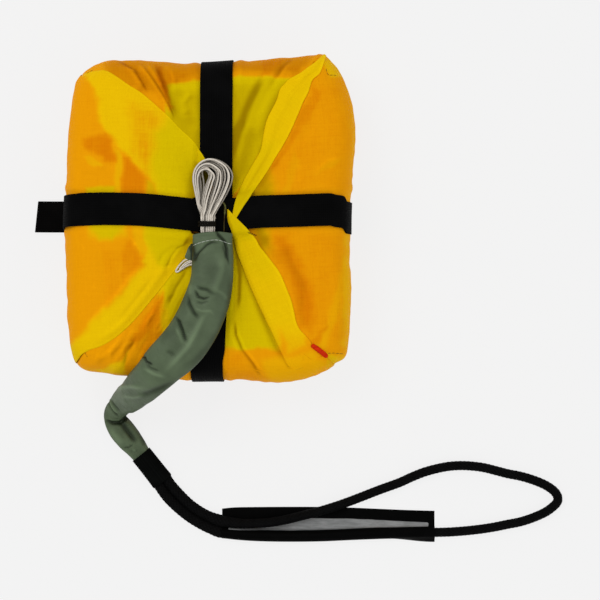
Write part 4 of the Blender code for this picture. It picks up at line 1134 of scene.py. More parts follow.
RIGHT_TINTS = (
    ("deep", 0.28, 12, ((24, 20), (110, 20), (106, 100), (80, 106), (50, 60))),
    ("deep", 0.28, 12, ((40, -12), (108, -12), (106, -94), (82, -96), (60, -60))),
    # Painted shadow that the turned-over edge casts on the right flap.
    ("deep", 0.6, 7, ((81, 101), (90, 97), (81, 75.5), (69, 58), (57, 40), (49, 36), (67.5, 71))),
    ("lime", 0.62, 14, ((34, 40), (50, 38), (53, 24), (51, 8), (30, 8))),
    ("shade", 0.55, 15, ((34, 40), (48, 36), (51, 24), (48, 8), (30, 8))),
    ("yellow", 0.3, 6, ((67.5, 50), (74, 45), (64, 18), (56.5, 18))),
    ("yellow", 0.3, 5, ((83.5, 32.5), (92.5, 43), (104, 46), (98, 37))),
    ("yellow", 0.6, 8, ((107, 108), (112, 86.5), (112, 45), (107, 9.5), (122, 9.5), (122, 108))),
    ("yellow", 0.75, 4, ((90, 119), (94, 108.5), (106, 108.5), (110, 122), (96, 130))),
    # Painted shade along a broad fold of the right flap.
    ("deep", 0.8, 17, ((50, -14), (62, -15), (74, -34), (83, -53.5), (86, -74), (80, -92), (70, -86),
     (68, -67), (60, -45), (52, -28))),
    ("deep", 0.6, 5, ((80, -98), (92.5, -82), (96, -86), (87, -99))),
    ("lime", 0.6, 14, ((30, -2), (49, -2), (50, -22), (47, -36), (39, -26))),
    ("shade", 0.72, 15, ((26, 0), (46, 0), (46, -20), (45, -34), (36, -26))),
    ("yellow", 0.55, 8, ((104, -9.5), (122, -11), (122, -100), (110, -110), (104, -100.5), (103, -62))),
    ("yellow", 0.85, 5, ((88, -106.5), (112, -106), (112, -116), (93.5, -126), (80, -122))),
    ("lime", 0.6, 5, ((93, -109), (108, -108), (108, -113), (96, -121), (88, -119))),
    ("yellow", 0.38, 6, ((103, -38), (107, -46), (101, -80), (92, -104), (84, -102), (93, -78))))
RIGHT_SHADES = (
    (((107, -62), (104.5, -84), (101, -100)), 0.16, 2.4, 2),
    (((83, 98), (74, 80), (66, 64), (56, 46), (48, 30)), 0.22, 3, 3),
    (((44, -14), (52, -28), (58, -42)), 0.22, 4, 4),
    (((58, -18), (64, -34), (72, -48), (78, -64)), 0.3, 3, 6),
    (((74, -58), (72, -74), (76, -88)), 0.22, 3, 5),
    (((31, -11), (38, -20), (44, -30), (50, -38)), 0.4, 2.2, 1),
    (((30, 8), (38, 20), (48, 34), (56, 48)), 0.3, 1, 2.2),
    (((84, 34), (92, 43), (104, 47)), -0.16, 1.4, 2.4),
    (((70, 22), (72, 36), (68, 48)), -0.12, 2.4, 3.4))
LEFT_FOLDS = (
    (((-18, -21.5), (-24, -25.5), (-28, -31.5), (-30.5, -38), (-33.5, -42)), -1.3, 1.6, 2.6),
    (((-24, -22), (-34, -30), (-38, -38)), -0.6, 2, 2),
    (((-13, -14), (-20.5, -23.5), (-33, -40.5), (-42.5, -55), (-57.5, -74.5), (-69, -87.5), (-82, -95.5),
     (-94, -102)), 0.9, 2.6, 3.4),
    (((-41, -50), (-57.5, -68), (-65.5, -78), (-78, -88)), -0.4, 3, 3),
    (((-49, -37), (-58, -47), (-69, -61), (-82, -74), (-96, -90)), 0.7, 3.6, 2.6),
    (((-57.5, -20), (-50, -34), (-48, -40)), 0.8, 2.6, 3.2),
    (((-80, -28), (-80, -50), (-78, -68)), -0.5, 2.5, 5),
    (((-71.5, 56), (-70, 36), (-70, 18)), 0.6, 2.2, 2.2),
    (((-83, 98), (-81, 82), (-79, 68), (-70, 56), (-56, 42), (-44, 29)), 0.7, 3.4, 2.2),
    (((-96, 46), (-86, 41), (-78, 37)), 0.5, 2.2, 2.6),
    (((-95, 54), (-86, 50), (-78, 49), (-73, 53)), -0.5, 3, 3),
    (((-95, 108.5), (-85, 109.5), (-76, 107.5), (-64, 101), (-48, 90.5), (-32, 76), (-16, 60), (-8, 50)),
     0.5, 3, 3),
    (((-60, 92), (-48, 76), (-38, 58)), 0.4, 6, 6),
    (((-100, -92), (-102, -100), (-98, -106)), 0.5, 2, 2))
LEFT_TINTS = (
    ("deep", 0.52, 18, ((-62, 92), (-36, 78), (-40, 50), (-46, 30), (-58, 50), (-62, 70))),
    ("deep", 0.14, 14, ((-98, 112), (-60, 104), (-36, 80), (-44, 28), (-84, 66))),
    ("yellow", 0.84, 7, ((-100, 112), (-92, 107), (-86.5, 98.5), (-84.5, 87), (-83.5, 75.5), (-81, 68),
     (-72, 59.5), (-66.5, 52), (-58, 43), (-49.5, 35), (-41, 26), (-39.5, 12), (0, 12), (8, 45), (-7, 62),
     (-30, 90), (-61, 110), (-80, 120), (-96, 118))),
    ("lime", 0.95, 18, ((-40.5, 66), (-42.5, 52.5), (-44.5, 41), (-40, 14), (0, 14), (8, 45), (-4, 60),
     (-14.5, 66), (-28, 79))),
    ("deep", 0.8, 8, ((-96, 60), (-91.5, 62.5), (-80, 65.5), (-72.5, 60), (-71, 52.5), (-71.5, 43),
     (-80, 41.5), (-82.5, 46), (-95.5, 52))),
    ("yellow", 0.45, 4, ((-72, 56), (-66, 52.5), (-66, 17), (-72, 17))),
    ("deep", 0.8, 7, ((-65.5, 46), (-61, 45), (-49.5, 33), (-47, 29.5), (-49.5, 15), (-65.5, 15))),
    ("shade", 0.1, 5, ((-98.5, 40), (-94.5, 41), (-84, 35.5), (-71.5, 37), (-71.5, 15), (-94.5, 17))),
    ("yellow", 0.4, 3, ((-97, 46.5), (-91.5, 48), (-80, 38.5), (-81.5, 36.5), (-91.5, 40))),
    ("lime", 0.75, 5, ((-92.5, 23), (-82.5, 25), (-71.5, 23), (-71.5, 14), (-92.5, 14))),
    ("lime", 0.6, 5, ((-48, 29.5), (-41, 27), (-39.5, 14), (-48.5, 14))),
    ("shade", 0.3, 6, ((-48, 29), (-41, 26), (-40.5, 15), (-48.5, 15))),
    ("shade", 0.62, 7, ((-9.5, 42), (-14.5, 33), (-15.5, 12), (0, 10), (0, 40))),
    ("shade", 1.9, 5, ((-8, 33), (-7, 12), (9, 8), (8, 32), (-1, 38))),
    ("deep", 0.35, 7, ((-80.5, -26), (-65.5, -26), (-64.5, -48.5), (-69, -60), (-76, -70),
     (-80.5, -66.5))),
    ("yellow", 0.55, 9, ((-94, 2), (-62, 2), (-62, -15), (-72, -19), (-92, -18))),
    ("lime", 0.85, 9, ((-92, 4), (-66, 4), (-66, -12), (-73, -18), (-84, -17), (-91, -9))),
    ("deep", 0.62, 9, ((-57.5, -16), (-49.5, -35), (-50, -39), (-57.5, -45.5), (-65.5, -52), (-68, -30),
     (-63, -18))),
    ("yellow", 0.45, 8, ((-62, 0), (-46, 0), (-44, -34), (-52, -30), (-58, -16))),
    ("yellow", 1, 7, ((-50, 2), (-2, 2), (-3, -22), (-26, -50), (-33, -44), (-44.5, -44), (-50, -36),
     (-47, -20))),
    ("lime", 0.95, 10, ((-47.5, 6), (-12, 6), (-9, -10), (-20, -24), (-28, -34), (-34, -41), (-39, -38),
     (-44, -28), (-48, -12))),
    ("yellow", 0.95, 9, ((-47.5, -33), (-24, -30), (-23, -49), (-37, -65), (-52, -85), (-65, -99),
     (-79, -109), (-96, -116), (-110, -120), (-112, -104), (-102.5, -97.5), (-91.5, -84), (-82.5, -75),
     (-76, -70), (-69, -62), (-58, -48.5), (-50, -41))),
    ("shade", 0.16, 6, ((-40, -40), (-46, -47), (-58.5, -64), (-67, -75), (-64, -79), (-53, -67),
     (-42.5, -54), (-36, -44))),
    ("lime", 0.35, 5, ((-112, -98), (-101, -98), (-96, -110), (-104, -118), (-114, -112))))
LEFT_SHADES = (
    (((-13, -15), (-18, -22), (-23.5, -25), (-28, -31.5), (-30.5, -37), (-33.5, -42)), 0.62, 1, 1.1),
    (((-9, -8), (-12.5, -15), (-18, -23)), 0.5, 2.6, 2.2),
    (((-62, -13), (-57, -19), (-52, -27), (-49.5, -36)), -0.25, 1.6, 1),
    (((-10, -18), (-20, -30), (-33, -47.5), (-42.5, -60), (-57.5, -79.5), (-69, -92), (-84, -100)), -0.18,
     1.2, 2),
    (((-36, -40), (-47, -53), (-60, -70), (-72, -84)), 0.16, 1.4, 1.8),
    (((-46, -34), (-60, -52), (-74, -68), (-90, -88)), -0.14, 6, 5))
# The shade channel is painted shade; deep is deep orange, and painted shade in a few zones.
CHANNELS = {"yellow": 0, "lime": 1, "deep": 2, "shade": 3}

# Patches of small sharp crumples that run through every layer: height, size, the way the
# ridges lean in degrees, salt and corners in plan.
CRUMPLED = (
    (0.85, 6.5, 62, 61, ((-92, -104), (-70, -98), (-50, -80), (-34, -56), (-26, -60), (-36, -92),
     (-52, -122), (-92, -122))),
    (0.4, 9, -52, 62, ((-84, 120), (-40, 84), (-22, 60), (-4, 60), (-4, 122), (-60, 128))),
    (0.3, 10, 66, 63, ((14, 106), (66, 106), (34, 20), (14, 20))),
    (0.24, 12, 12, 64, ((-100, 66), (-70, 66), (-48, 30), (-44, 16), (-100, 16))),
    (0.22, 16, 84, 65, ((56, -14), (104, -14), (104, -100), (78, -92), (60, -50))),
    (0.22, 18, 40, 66, ((56, 18), (106, 18), (106, 96), (84, 100), (64, 50))))


def crumpled(x, y):
    """Height of the small crumples at places in plan."""
    total = 0
    for height, size, lean, salt, corners in CRUMPLED:
        along = x * cos(radians(lean)) + y * sin(radians(lean))
        across = y * cos(radians(lean)) - x * sin(radians(lean))
        ridges = sum(share * (0.5 - np.abs(bumps(along * 0.42, across, size * share, salt + place)))
                     for place, share in enumerate((1.0, 0.6)))
        total = total + height * ridges * inside_area(x, y, corners, 8)
    return total


def tint_layer(x, y, areas, lines, base=(0.0, 0.0, 0.0, 0.0)):
    """How yellow, lime, deep and shaded the cloth is at places in plan: the shade is painted shade,
    and the lines add painted shade, and painted highlight where their share is below 0.
    """
    tints_and_shade = np.zeros((*np.shape(x), 4)) + base
    wander_x = x + 1.6 * bumps(x, y, 9, 21) + 0.7 * bumps(x, y, 3.5, 23)
    wander_y = y + 1.6 * bumps(x, y, 9, 22) + 0.7 * bumps(x, y, 3.5, 24)
    for channel, share, blur, corners in areas:
        mask = inside_area(wander_x, wander_y, corners, blur) * share
        place = CHANNELS[channel]
        tints_and_shade[..., place] = np.maximum(tints_and_shade[..., place], mask)
    for line, share, left, right in lines:
        shade = along_line(x, y, line, left, right, 0.2) * share
        tints_and_shade[..., 3] = 1 - (1 - tints_and_shade[..., 3]) * (1 - shade)
    return tints_and_shade


def pressed(x, y, lines, ends=0.2):
    """Sum of folds or marks along lines at places in plan."""
    return sum(along_line(x, y, line, left, right, ends) * height
               for line, height, left, right in lines)


def folded(x, y, folds):
    """Sum of a layer's folds at places in plan."""
    return crumpled(x, y) + pressed(x, y, folds)


def fold_shade(x, y, folds):
    """How much darker the sides of the folds look that face away from the light, and how much
    lighter the others."""
    slope = folded(x - 0.45, y + 0.5, folds) - folded(x + 0.45, y - 0.5, folds)
    return np.clip(slope * 0.55, -0.30, 0.75)


def lift_right(x, y):
    """Lift of the right flap, the lowest of the four."""
    own = LIFT_UNDER + 0.25 + np.maximum(folded(x, y, RIGHT_FOLDS), -0.9)
    return towards_strap(own, beside_across(x, y), across_lift(x).clip(0, LIFT_WALL_STRAP))


def lift_middle(x, y, wall, folds):
    """Lift of the back or the front flap, lower on its wall than on the top."""
    own = part_way(LIFT_MIDDLE, LIFT_UNDER, wall) + np.maximum(folded(x, y, folds), -1.2)
    return towards_strap(own, beside_lengthways(x, y),
                         part_way(LIFT_LENGTHWAYS, LIFT_WALL_STRAP, wall))


def lift_back(x, y):
    """Lift of the back flap."""
    return lift_middle(x, y, ease(y, 110, 121), BACK_FOLDS)


def lift_front(x, y):
    """Lift of the front flap."""
    return lift_middle(x, y, ease(-y, 112, 124), FRONT_FOLDS)


def lift_left(x, y):
    """Lift of the left flap, which lies over the back and front ones and the first strap."""
    wall = ease(-x, 98, 112)
    own = part_way(LIFT_OVER, LIFT_UNDER, wall) + np.maximum(folded(x, y, LEFT_FOLDS), -0.9)
    own = towards_strap(own, beside_across(x, y), part_way(across_lift(x), LIFT_WALL_LEFT, wall))
    cleared = (1 - ease(beside_lengthways(x, y), 0, 3.5)) * (LIFT_LENGTHWAYS + 1.9)
    below = np.maximum(lift_back(x, y) * (y > 0), lift_front(x, y) * (y < 0)) + LAYER_STEP
    near = np.minimum(abs(to_line(x, y, LEFT_EDGE_BACK)[0]), abs(to_line(x, y, LEFT_EDGE_FRONT)[0]))
    own = part_way(below, own, 1 - (1 - ease(near, 0, 9)) * ease(np.abs(y), 14, 22))
    return np.maximum(np.maximum(own, cleared), below * (1 - ease(-x, 86, 104)))


# Free edges in plan, from the corner to the middle.
LEFT_EDGE_BACK = ((-99, 108.8), (-97.5, 109.6), (-91.3, 111.7), (-80.4, 113.1), (-75.7, 111.5),
    (-68, 106.8), (-60.2, 101.4), (-52.4, 96.7), (-44.6, 90.5), (-36.9, 83.5), (-29.1, 76.5), (-21.3, 68),
    (-13.5, 61), (-8.1, 54.8), (-5.8, 50.9), (-1.9, 44.6), (2, 34), (5, 20), (6, 8))
LEFT_EDGE_FRONT = ((-97.5, -106.2), (-91.3, -103.1), (-83.5, -100.8), (-75.7, -96.9), (-68, -91.4),
    (-60.2, -84.4), (-52.4, -75.9), (-44.6, -66.6), (-36.9, -57.2), (-29.1, -47.1), (-25.2, -42.4),
    (-19.8, -34.7), (-13.5, -26.1), (-8, -17), (-2, -8))
BACK_EDGE_RIGHT = ((5, SEAM_BACK_RIGHT), (6, 56.5), (7, 54), (8, 48), (9, 36), (9.5, 24), (9.8, 9))
BACK_EDGE_LEFT = ((5, 131), (6, 128), (7, 123), (8, 112), (9, 100), (9.8, 95))
FRONT_EDGE_LEFT = ((5, 227.5), (6, 223.5), (7, 224), (8, 226), (9, 229), (9.8, 235))
FRONT_EDGE_RIGHT = ((5, 306), (6, 304.5), (7, 304.5), (8, 309), (9, 319), (9.8, 338))
RIGHT_EDGE_FRONT = ((5, 309), (6, 306), (7, 306.5), (8, 315), (9, 328), (9.5, 336))
RIGHT_EDGE_BACK = ((5, 415), (6, 414.6), (7, 413), (8, 407), (9, 394), (9.5, 384))
FLAP_STEP = 1.1        # size of a flap's faces
WALL_RINGS = 62        # rows of points up the wall
TOP_RINGS = 102        # and from the shoulder to the middle
LEAST_LIFT = 0.22      # of a flap off the body in it
SEAM_TURN_IN = 1.0     # how far from a corner seam the cloth dips into it
SEAM_GAP = 0.1         # degrees between a flap and the middle of its corner seam
WALL_TINTS = (0.18, 0.0, 0.12, 0.02)  # yellow, lime, deep and shaded, low on the walls


def edge_table(edge, seam):
    """Rows of the profile and angles along a flap's edge, up the corner seam and then free."""
    if abs(edge[0][0]) > 20:  # a line in plan, and not rows and angles
        angle, row = plan_place(*smooth_curve(edge, 1.5).T)
        row = np.maximum.accumulate(row)
    else:
        row, angle = np.array(edge, float).T
    near = seam + (angle[0] - seam + 180) % 360 - 180
    angle = angle + (near - angle[0])
    return np.concatenate(([0, row[0] - 0.4], row)), np.concatenate(([seam, seam], angle))


def flap_grid(first, last, seams, last_row, lift):
    """Grid of a flap's places on the block and its points, from the foot to the middle."""
    rows = np.interp(np.linspace(0, 1, WALL_RINGS), (0, 0.10, 0.24, 0.36, 0.44, 0.50, 1.0),
                     (0, 1, 2, 3, 4, 5, SHOULDER_ROW))
    start, end = (float(profile_at(row)[0]) for row in (SHOULDER_ROW, last_row))
    top = np.linspace(0, 1, TOP_RINGS)[1:]
    rows = np.concatenate((rows, top_row(part_way(start, end, top))))
    start, end = (np.interp(rows, *edge_table(edge, seam))[:, None]
                  for edge, seam in zip((first, last), seams))
    share = np.linspace(0, 1, int(radians(seams[1] - seams[0]) * MEAN_RADIUS / FLAP_STEP))
    angle = start + (end - start) * share
    row = rows[:, None] + 0 * angle
    x, y, down = np.moveaxis(wrap_point(angle, row, 0), -1, 0)
    edge = np.minimum(share, 1 - share) * np.radians(np.abs(end - start)) * np.hypot(x, y)
    wall = 1 - ease(row, 3.6, 5.2)
    dip = bell(edge, SEAM_TURN_IN) * wall * 0.3
    settle = bell(edge, 3.0) * (1 - wall) * 0.45
    foot = ease(row, -0.01, 1.3)
    # The sides of the wrap are drawn down in long soft folds towards the foot.
    around = angle * 2.05
    pulled = (0.75 * bumps(around, down * 0.22, 9, 31) + 0.4 * bumps(around, down * 0.3, 4, 32)
              + 0.35 * bumps(around + down * 0.35, down, 17, 33))
    pulled = pulled * (1 - ease(row, 3.2, 5.4)) * ease(row, 0, 1.0) * ease(edge, 0, 10)
    height = (0.25 + (lift(x, y) - 0.25) * foot - dip - settle
              + pulled * (0.9 - 0.55 * ease(row, 2, 4)))
    height = np.maximum(height, LEAST_LIFT)
    points = wrap_point(angle, row, height + packed_relief(x, y) * ease(row, 0, 1.5))
    turn = radians(seams[0] + seams[1]) / 2
    weave = stacked(y * cos(turn) - x * sin(turn), x * cos(turn) + y * sin(turn) - down, 0.0)
    return x, y, row, edge, points, weave


def build_flaps(sizes, colours):
    """The four flaps of the wrap."""
    for (name, node, below, salt, first, last, seams, last_row, lift, areas, lines,
         folds) in FLAPS:
        seams = (seams[0] + SEAM_GAP, seams[1] - SEAM_GAP)
        x, y, row, edge, points, weave = flap_grid(first, last, seams, last_row, lift)
        weave[..., 2] = salt
        tints_and_shade = tint_layer(x, y, areas, lines)
        # Painted shade and highlight of the folds, then painted highlight along the free edges.
        tints_and_shade[..., 3] += fold_shade(x, y, folds) * ease(row, 4.0, 5.2)
        tints_and_shade[..., 3] -= 0.28 * bell(edge - 0.7, 0.8) * ease(row, 5, 5.4)
        low = 0.55 * (1 - ease(row, 2.0, 4.6))[..., None]
        tints_and_shade = tints_and_shade * (1 - low) + np.array(WALL_TINTS) * low
        piece = skin(name, points, weave=weave, tints_and_shade=tints_and_shade)
        thicken(piece, sizes.cloth / MM)
        finish(piece, "wrap_cloth", "ripstop_orange", wrap_cloth, colours, node=node)
        size, width = (norm(np.diff(points, axis=axis), axis=2).sum(axis=axis).max()
                       for axis in (0, 1))


FLAPS = (
    ("wrap_flap_right", "flap_right", ["wrap_body"], 0.0, RIGHT_EDGE_FRONT, RIGHT_EDGE_BACK,
     (SEAM_FRONT_RIGHT, 360 + SEAM_BACK_RIGHT), 9.5, lift_right, RIGHT_TINTS, RIGHT_SHADES,
     RIGHT_FOLDS),
    ("wrap_flap_back", "flap_back", ["wrap_body"], 40.0, BACK_EDGE_RIGHT, BACK_EDGE_LEFT,
     (SEAM_BACK_RIGHT, SEAM_BACK_LEFT), 9.8, lift_back, BACK_TINTS, BACK_SHADES, BACK_FOLDS),
    ("wrap_flap_front", "flap_front", ["wrap_body"], 80.0, FRONT_EDGE_LEFT, FRONT_EDGE_RIGHT,
     (SEAM_FRONT_LEFT, SEAM_FRONT_RIGHT), 9.8, lift_front, FRONT_TINTS, FRONT_SHADES,
     FRONT_FOLDS),
    ("wrap_flap_left", "flap_left", ["wrap_flap_back", "wrap_flap_front"], 120.0, LEFT_EDGE_BACK,
     LEFT_EDGE_FRONT, (SEAM_BACK_LEFT, SEAM_FRONT_LEFT), 9.9, lift_left, LEFT_TINTS, LEFT_SHADES,
     LEFT_FOLDS),
)

# The turned-over edges in plan: left side and right side, seen from the corner for the back
# flap and from the middle for the front flap.
TURNED_BACK = (
    ((91, 129.5), (88.3, 125.5), (83.7, 120.1), (75.9, 113.8), (70.4, 110), (64.2, 106.8), (60.3, 103),
     (56.4, 98.3), (54.1, 90.5), (50.2, 82.7), (47.1, 76.5), (44.8, 68.7), (43.2, 59.4), (41.7, 51.6),
     (38.6, 45.4), (33.1, 36.1), (27.7, 26), (22.2, 12.8), (19.9, 2.7), (19.4, -0.6)),
    ((92.2, 128.5), (90, 121.5), (86.8, 111.5), (81.3, 106.1), (78.2, 96.7), (74.3, 89), (70.4, 79.6),
     (65, 67.2), (58.8, 55.5), (52.6, 45.4), (47.1, 36.1), (39.3, 24.4), (33.1, 15.1), (27.7, 7.3),
     (23, -0.5), (21.4, -3.4)))
TURNED_FRONT = (
    ((16, 5), (16.5, -4.3), (19.1, -12.1), (21.5, -22.2), (23.8, -30), (26.9, -37.8), (30.8, -47.9),
     (34.7, -57.2), (39.3, -67.3), (44.8, -79), (50.2, -89.9), (54.9, -100), (59.6, -110.1), (64.2, -121)),
    ((16.3, 5.2), (21.5, -0.5), (25.3, -4.3), (30.8, -9.8), (37, -16.8), (40.9, -23.8), (44.8, -28.5),
     (50.2, -35.5), (54.9, -41.7), (58.8, -49.4), (61.9, -57.2), (65, -65), (67.3, -74.3), (68.9, -82.1),
     (72, -88.3), (76.5, -92.8), (80, -97), (83, -103), (91, -109.4)))
TURNED_COLUMNS = 26
TURNED_BODY = 0.75     # what the rolled edge stands above what it lies on
TURNED_TINTS = {
    "turned_edge_back": (
        ("lime", 0.55, 30, ((60, 62), (30, 62), (10, -8), (40, -8))),
        ("lime", 0.25, 20, ((80, 100), (40, 100), (20, 10), (40, 0))),
        ("lime", 0.90, 14, ((14, -8), (34, -8), (42, 24), (20, 24))),
        ("shade", 0.22, 12, ((14, -8), (34, -8), (40, 20), (20, 20))),
    ),
    "turned_edge_front": (
        ("lime", 0.45, 24, ((10, 10), (60, -30), (50, -60), (20, -40))),
        ("lime", 0.22, 24, ((20, -20), (76, -50), (76, -84), (30, -84))),
        ("lime", 0.85, 14, ((12, 10), (36, -8), (38, -22), (16, -22))),
        ("shade", 0.20, 12, ((12, 10), (34, -8), (34, -20), (16, -20))),
        ("shade", 0.55, 2, ((15, -2), (17.5, -2), (24.5, -24), (22, -25))),
    ),
}


def build_turned_edge(name, node, sides, thickness, colours, below, low_gold):
    """The doubled edge of a flap, a long soft roll from a corner to the middle."""
    left, right = (spline(side, OUTLINE_STEPS) for side in sides)
    rows = int(max(reach_along(left)[-1], reach_along(right)[-1]) / 1.3)
    left, right = evenly(left, rows), evenly(right, rows)
    share = np.linspace(0, 1, TURNED_COLUMNS)
    x, y = (part_way(left[:, axis, None], right[:, axis, None], share) for axis in (0, 1))
    width = norm(right - left, axis=1)[:, None]
    from_left, from_right = share * width, (1 - share) * width
    across = (1 - ease(beside_across(x, y), 0, 9)) * ease(x, 12, 17) * (across_lift(x) + 1.9)
    lengthways = (1 - ease(beside_lengthways(x, y), 0, 3.5)) * (LIFT_LENGTHWAYS + 1.9)
    lowest, onto = lift_right(x, y), ease(share, 0.30, 0.62)
    under = np.maximum(lowest, below(x, y) * (1 - onto) + lowest * onto)
    under = np.maximum(under, np.maximum(across, lengthways)) + LAYER_STEP + 0.1
    body = TURNED_BODY * ease(from_left, -0.6, 3.4) * (0.15 + 0.85 * ease(from_right, -0.5, 9.0))
    end = np.linspace(0, 1, rows)[:, None]
    body = body * (0.25 + 0.75 * ease(np.minimum(end, 1 - end), 0, 0.10))
    ripple = 0.20 * bumps(x * 0.5 + y * 0.2, y, 15, 41) + 0.12 * bumps(x, y, 7, 42)
    lift = under + body + ripple * ease(np.minimum(from_left, from_right), 0, 4)
    lift = lift - (body + 0.42) * low_gold * ease(end, 0.80, 0.97)
    lift = lift - 0.8 * (1 - low_gold) * ease(end, 0.955, 0.985)
    rolled = bell(from_left, 0.8) + bell(from_right, 0.8)
    lift = lift - 0.42 * rolled * ease(np.minimum(end, 1 - end), 0, 0.03)
    lift = lift - 0.7 * low_gold * ease(end, 0.90, 0.99) * (1 - ease(share, 0.3, 0.65))
    points = drape(x, y, lift + packed_relief(x, y))
    tints_and_shade = tint_layer(x, y, TURNED_TINTS[name], (), (0.92, 0.0, 0.0, 0.0))
    melt = (low_gold * ease(-y, 80, 104))[..., None]
    tints_and_shade[..., 3] += 0.14 * bumps(x * 0.6 + y * 0.3, y, 13, 43) - 0.04
    # Painted highlight along the crisp right side of the turned edge.
    tints_and_shade[..., 3] -= 0.26 * bell(from_right - 1.0, 1.2)
    tints_and_shade = tints_and_shade * (1 - melt) + tint_layer(x, y, FRONT_TINTS, ()) * melt
    length = float(reach_along(left)[-1]) * MM
    piece = skin(name, points, tints_and_shade=tints_and_shade,
                 weave=stacked(reach_along(left)[:, None], from_left, 160.0))
    thicken(piece, thickness)
    finish(piece, "wrap_hem", "ripstop_orange", wrap_cloth, colours, node=node)
    area = sum(face.area for face in piece.data.polygons)
    float(area / length) * 1.01


def build_turned_edges(sizes, colours):
    """The turned-over edges of the back flap and of the front one."""
    build_turned_edge("turned_edge_back", "fold_back", TURNED_BACK, sizes.hem / MM, colours,
                      lift_back, 0.0)
    build_turned_edge("turned_edge_front", "fold_front", TURNED_FRONT, sizes.hem / MM, colours,
                      lift_front, 1.0)


BODY_COLUMNS = 220
BOTTOM_RINGS = 66
BOTTOM_CHANNEL = 2.5   # depth of a strap's channel in the underside
CROSSING_CHANNEL = 4.3
LENGTHWAYS_BOTTOM = ((-112, -0.6), (110, 6.6))
BOTTOM_YS, BOTTOM_XS = zip(*LENGTHWAYS_BOTTOM)
BOTTOM_Y = 2.2         # the middle of the strap from left to right, below
CROSSING_REACH = (-20, -13, 21, 28)


def channel(beside):
    """How deep the cloth is in a strap's channel, from 0 to 1."""
    return 1 - ease(beside - HALF_STRAP, 0.3, 2.6)


def build_body(sizes, colours):
    """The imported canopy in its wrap: filled and crowned, with the straps pressed in below."""
    angle = np.linspace(0, 360, BODY_COLUMNS, endpoint=False)
    share = np.linspace(0.012, FOOT_SHARE, BOTTOM_RINGS)[:, None]
    x = share * block_radius(angle) * np.cos(np.radians(angle))
    y = share * block_radius(angle) * np.sin(np.radians(angle))
    long = channel(np.abs(x - np.interp(y, BOTTOM_YS, BOTTOM_XS)))
    wide = channel(np.abs(y - BOTTOM_Y))
    crossing = (wide * ease(x, CROSSING_REACH[0] - 3, CROSSING_REACH[1])
                * (1 - ease(x, CROSSING_REACH[2], CROSSING_REACH[3] + 3)))
    lifted = np.maximum(BOTTOM_CHANNEL * np.maximum(long, wide), CROSSING_CHANNEL * crossing)
    uneven = 0.35 * np.abs(bumps(x, y, 24, 51)) + 0.15 * np.abs(bumps(x, y, 9, 52))
    rolled = ease(share, 0.80, FOOT_SHARE) * 0.8
    bottom = stacked(x, y, np.maximum(lifted, uneven * (lifted < 0.05)) + rolled)
    row = np.concatenate((np.linspace(0, 1, 8), np.linspace(1, 5.5, 26)[1:],
                          np.linspace(5.5, 10.9, 34)[1:]))[:, None]
    flat = wrap_point(angle, row, 0)
    swell = packed_relief(flat[..., 0], flat[..., 1]) * ease(row, 0, 1.5)
    grid = np.concatenate((bottom, wrap_point(angle, row, swell - 0.15)))
    weave = stacked(grid[..., 0], grid[..., 1] + 0.5 * grid[..., 2], 200.0)
    weave[BOTTOM_RINGS:, :, 0] = np.radians(angle) * MEAN_RADIUS
    weave[BOTTOM_RINGS:, :, 1] = reach_along(grid[:, 0])[BOTTOM_RINGS:, None]
    shade = 0.05 + 0.25 * bell(grid[..., 2] - 2.0, 2.0)
    body = skin("wrap_body", grid, around=True, weave=weave,
                tints_and_shade=stacked(0.12, 0.0, 0.22, shade))
    finish(body, "canopy_cloth", "ripstop_orange", wrap_cloth, colours, node="canopy_block")


# ----- Corner seams, stitches and the pull tab -----

SEAM_ROWS = (0.15, 4.7)
SEAM_POINTS = 90
SEAM_SIDES = 12
SEAM_SIZE = (1.25, 0.75)  # half its width and half its height
PROUD_SEAM = 3         # the front right one, which the pull tab is sewn to
CORNER_STITCHES = (
    ((92.5, 116.2), (93, 112.8), (94.6, 110.9), (97.4, 111.1), (100.4, 111.3)),
    ((93.6, -106.7), (99, -106.6), (105.9, -107.4)),
    ((-96.2, -105.4), (-94, -109.8)),
    ((-95.4, 112.2), (-92.6, 114.2), (-89.8, 115.4)))
TACK_X, TACK_Y = 31.5, -11.8       # start of the zigzag on the front flap's turned edge
TACK_COLOURS = ((0.16, 0.07, 0.01), (0.07, 0.03, 0.008))


def build_seams(sizes, colours):
    """The bound seams up the four corners of the wrap."""
    grids, weaves, tints_and_shade = [], [], []
    rows = np.linspace(*SEAM_ROWS, SEAM_POINTS)
    size = (1 - 0.9 * ease(rows, SEAM_ROWS[1] - 0.25, SEAM_ROWS[1]))[:, None]
    turn = tau * (np.arange(SEAM_SIDES) + 0.5) / SEAM_SIDES
    for number, seam in enumerate(SEAMS):
        proud = number == PROUD_SEAM
        wobble = 0.28 * bumps(rows, number * 7, 0.35, 61)
        angle = seam + 0.10 * bumps(rows, number * 3, 0.5, 62)
        path = wrap_point(angle, rows, 0.35 + 0.9 * proud + wobble * 0.5)
        out = np.array((cos(radians(seam)), sin(radians(seam)), 0.25))
        side = np.array((-out[1], out[0], 0))
        for axis in (0, 1):
            path[:, axis] += packed_relief(path[:, 0], path[:, 1]) * out[axis] * 0.8
        grids.append(rings(path[:, None], (side, out), np.cos(turn) * SEAM_SIZE[0] * size,
                           np.sin(turn) * SEAM_SIZE[1] * size))
        weaves.append(ring_weave(grids[-1]) + (0, 0, 240 + 9 * number))
        tints_and_shade += [(0.7, 0.4, 0.0, 0.0) if proud else (0.25, 0.0, 0.35, 0.12)] * (SEAM_POINTS * SEAM_SIDES)
    piece = skin("corner_seams", grids, around=True, weave=weaves, tints_and_shade=np.array(tints_and_shade))
    finish(piece, "wrap_hem", "ripstop_orange", wrap_cloth, colours)


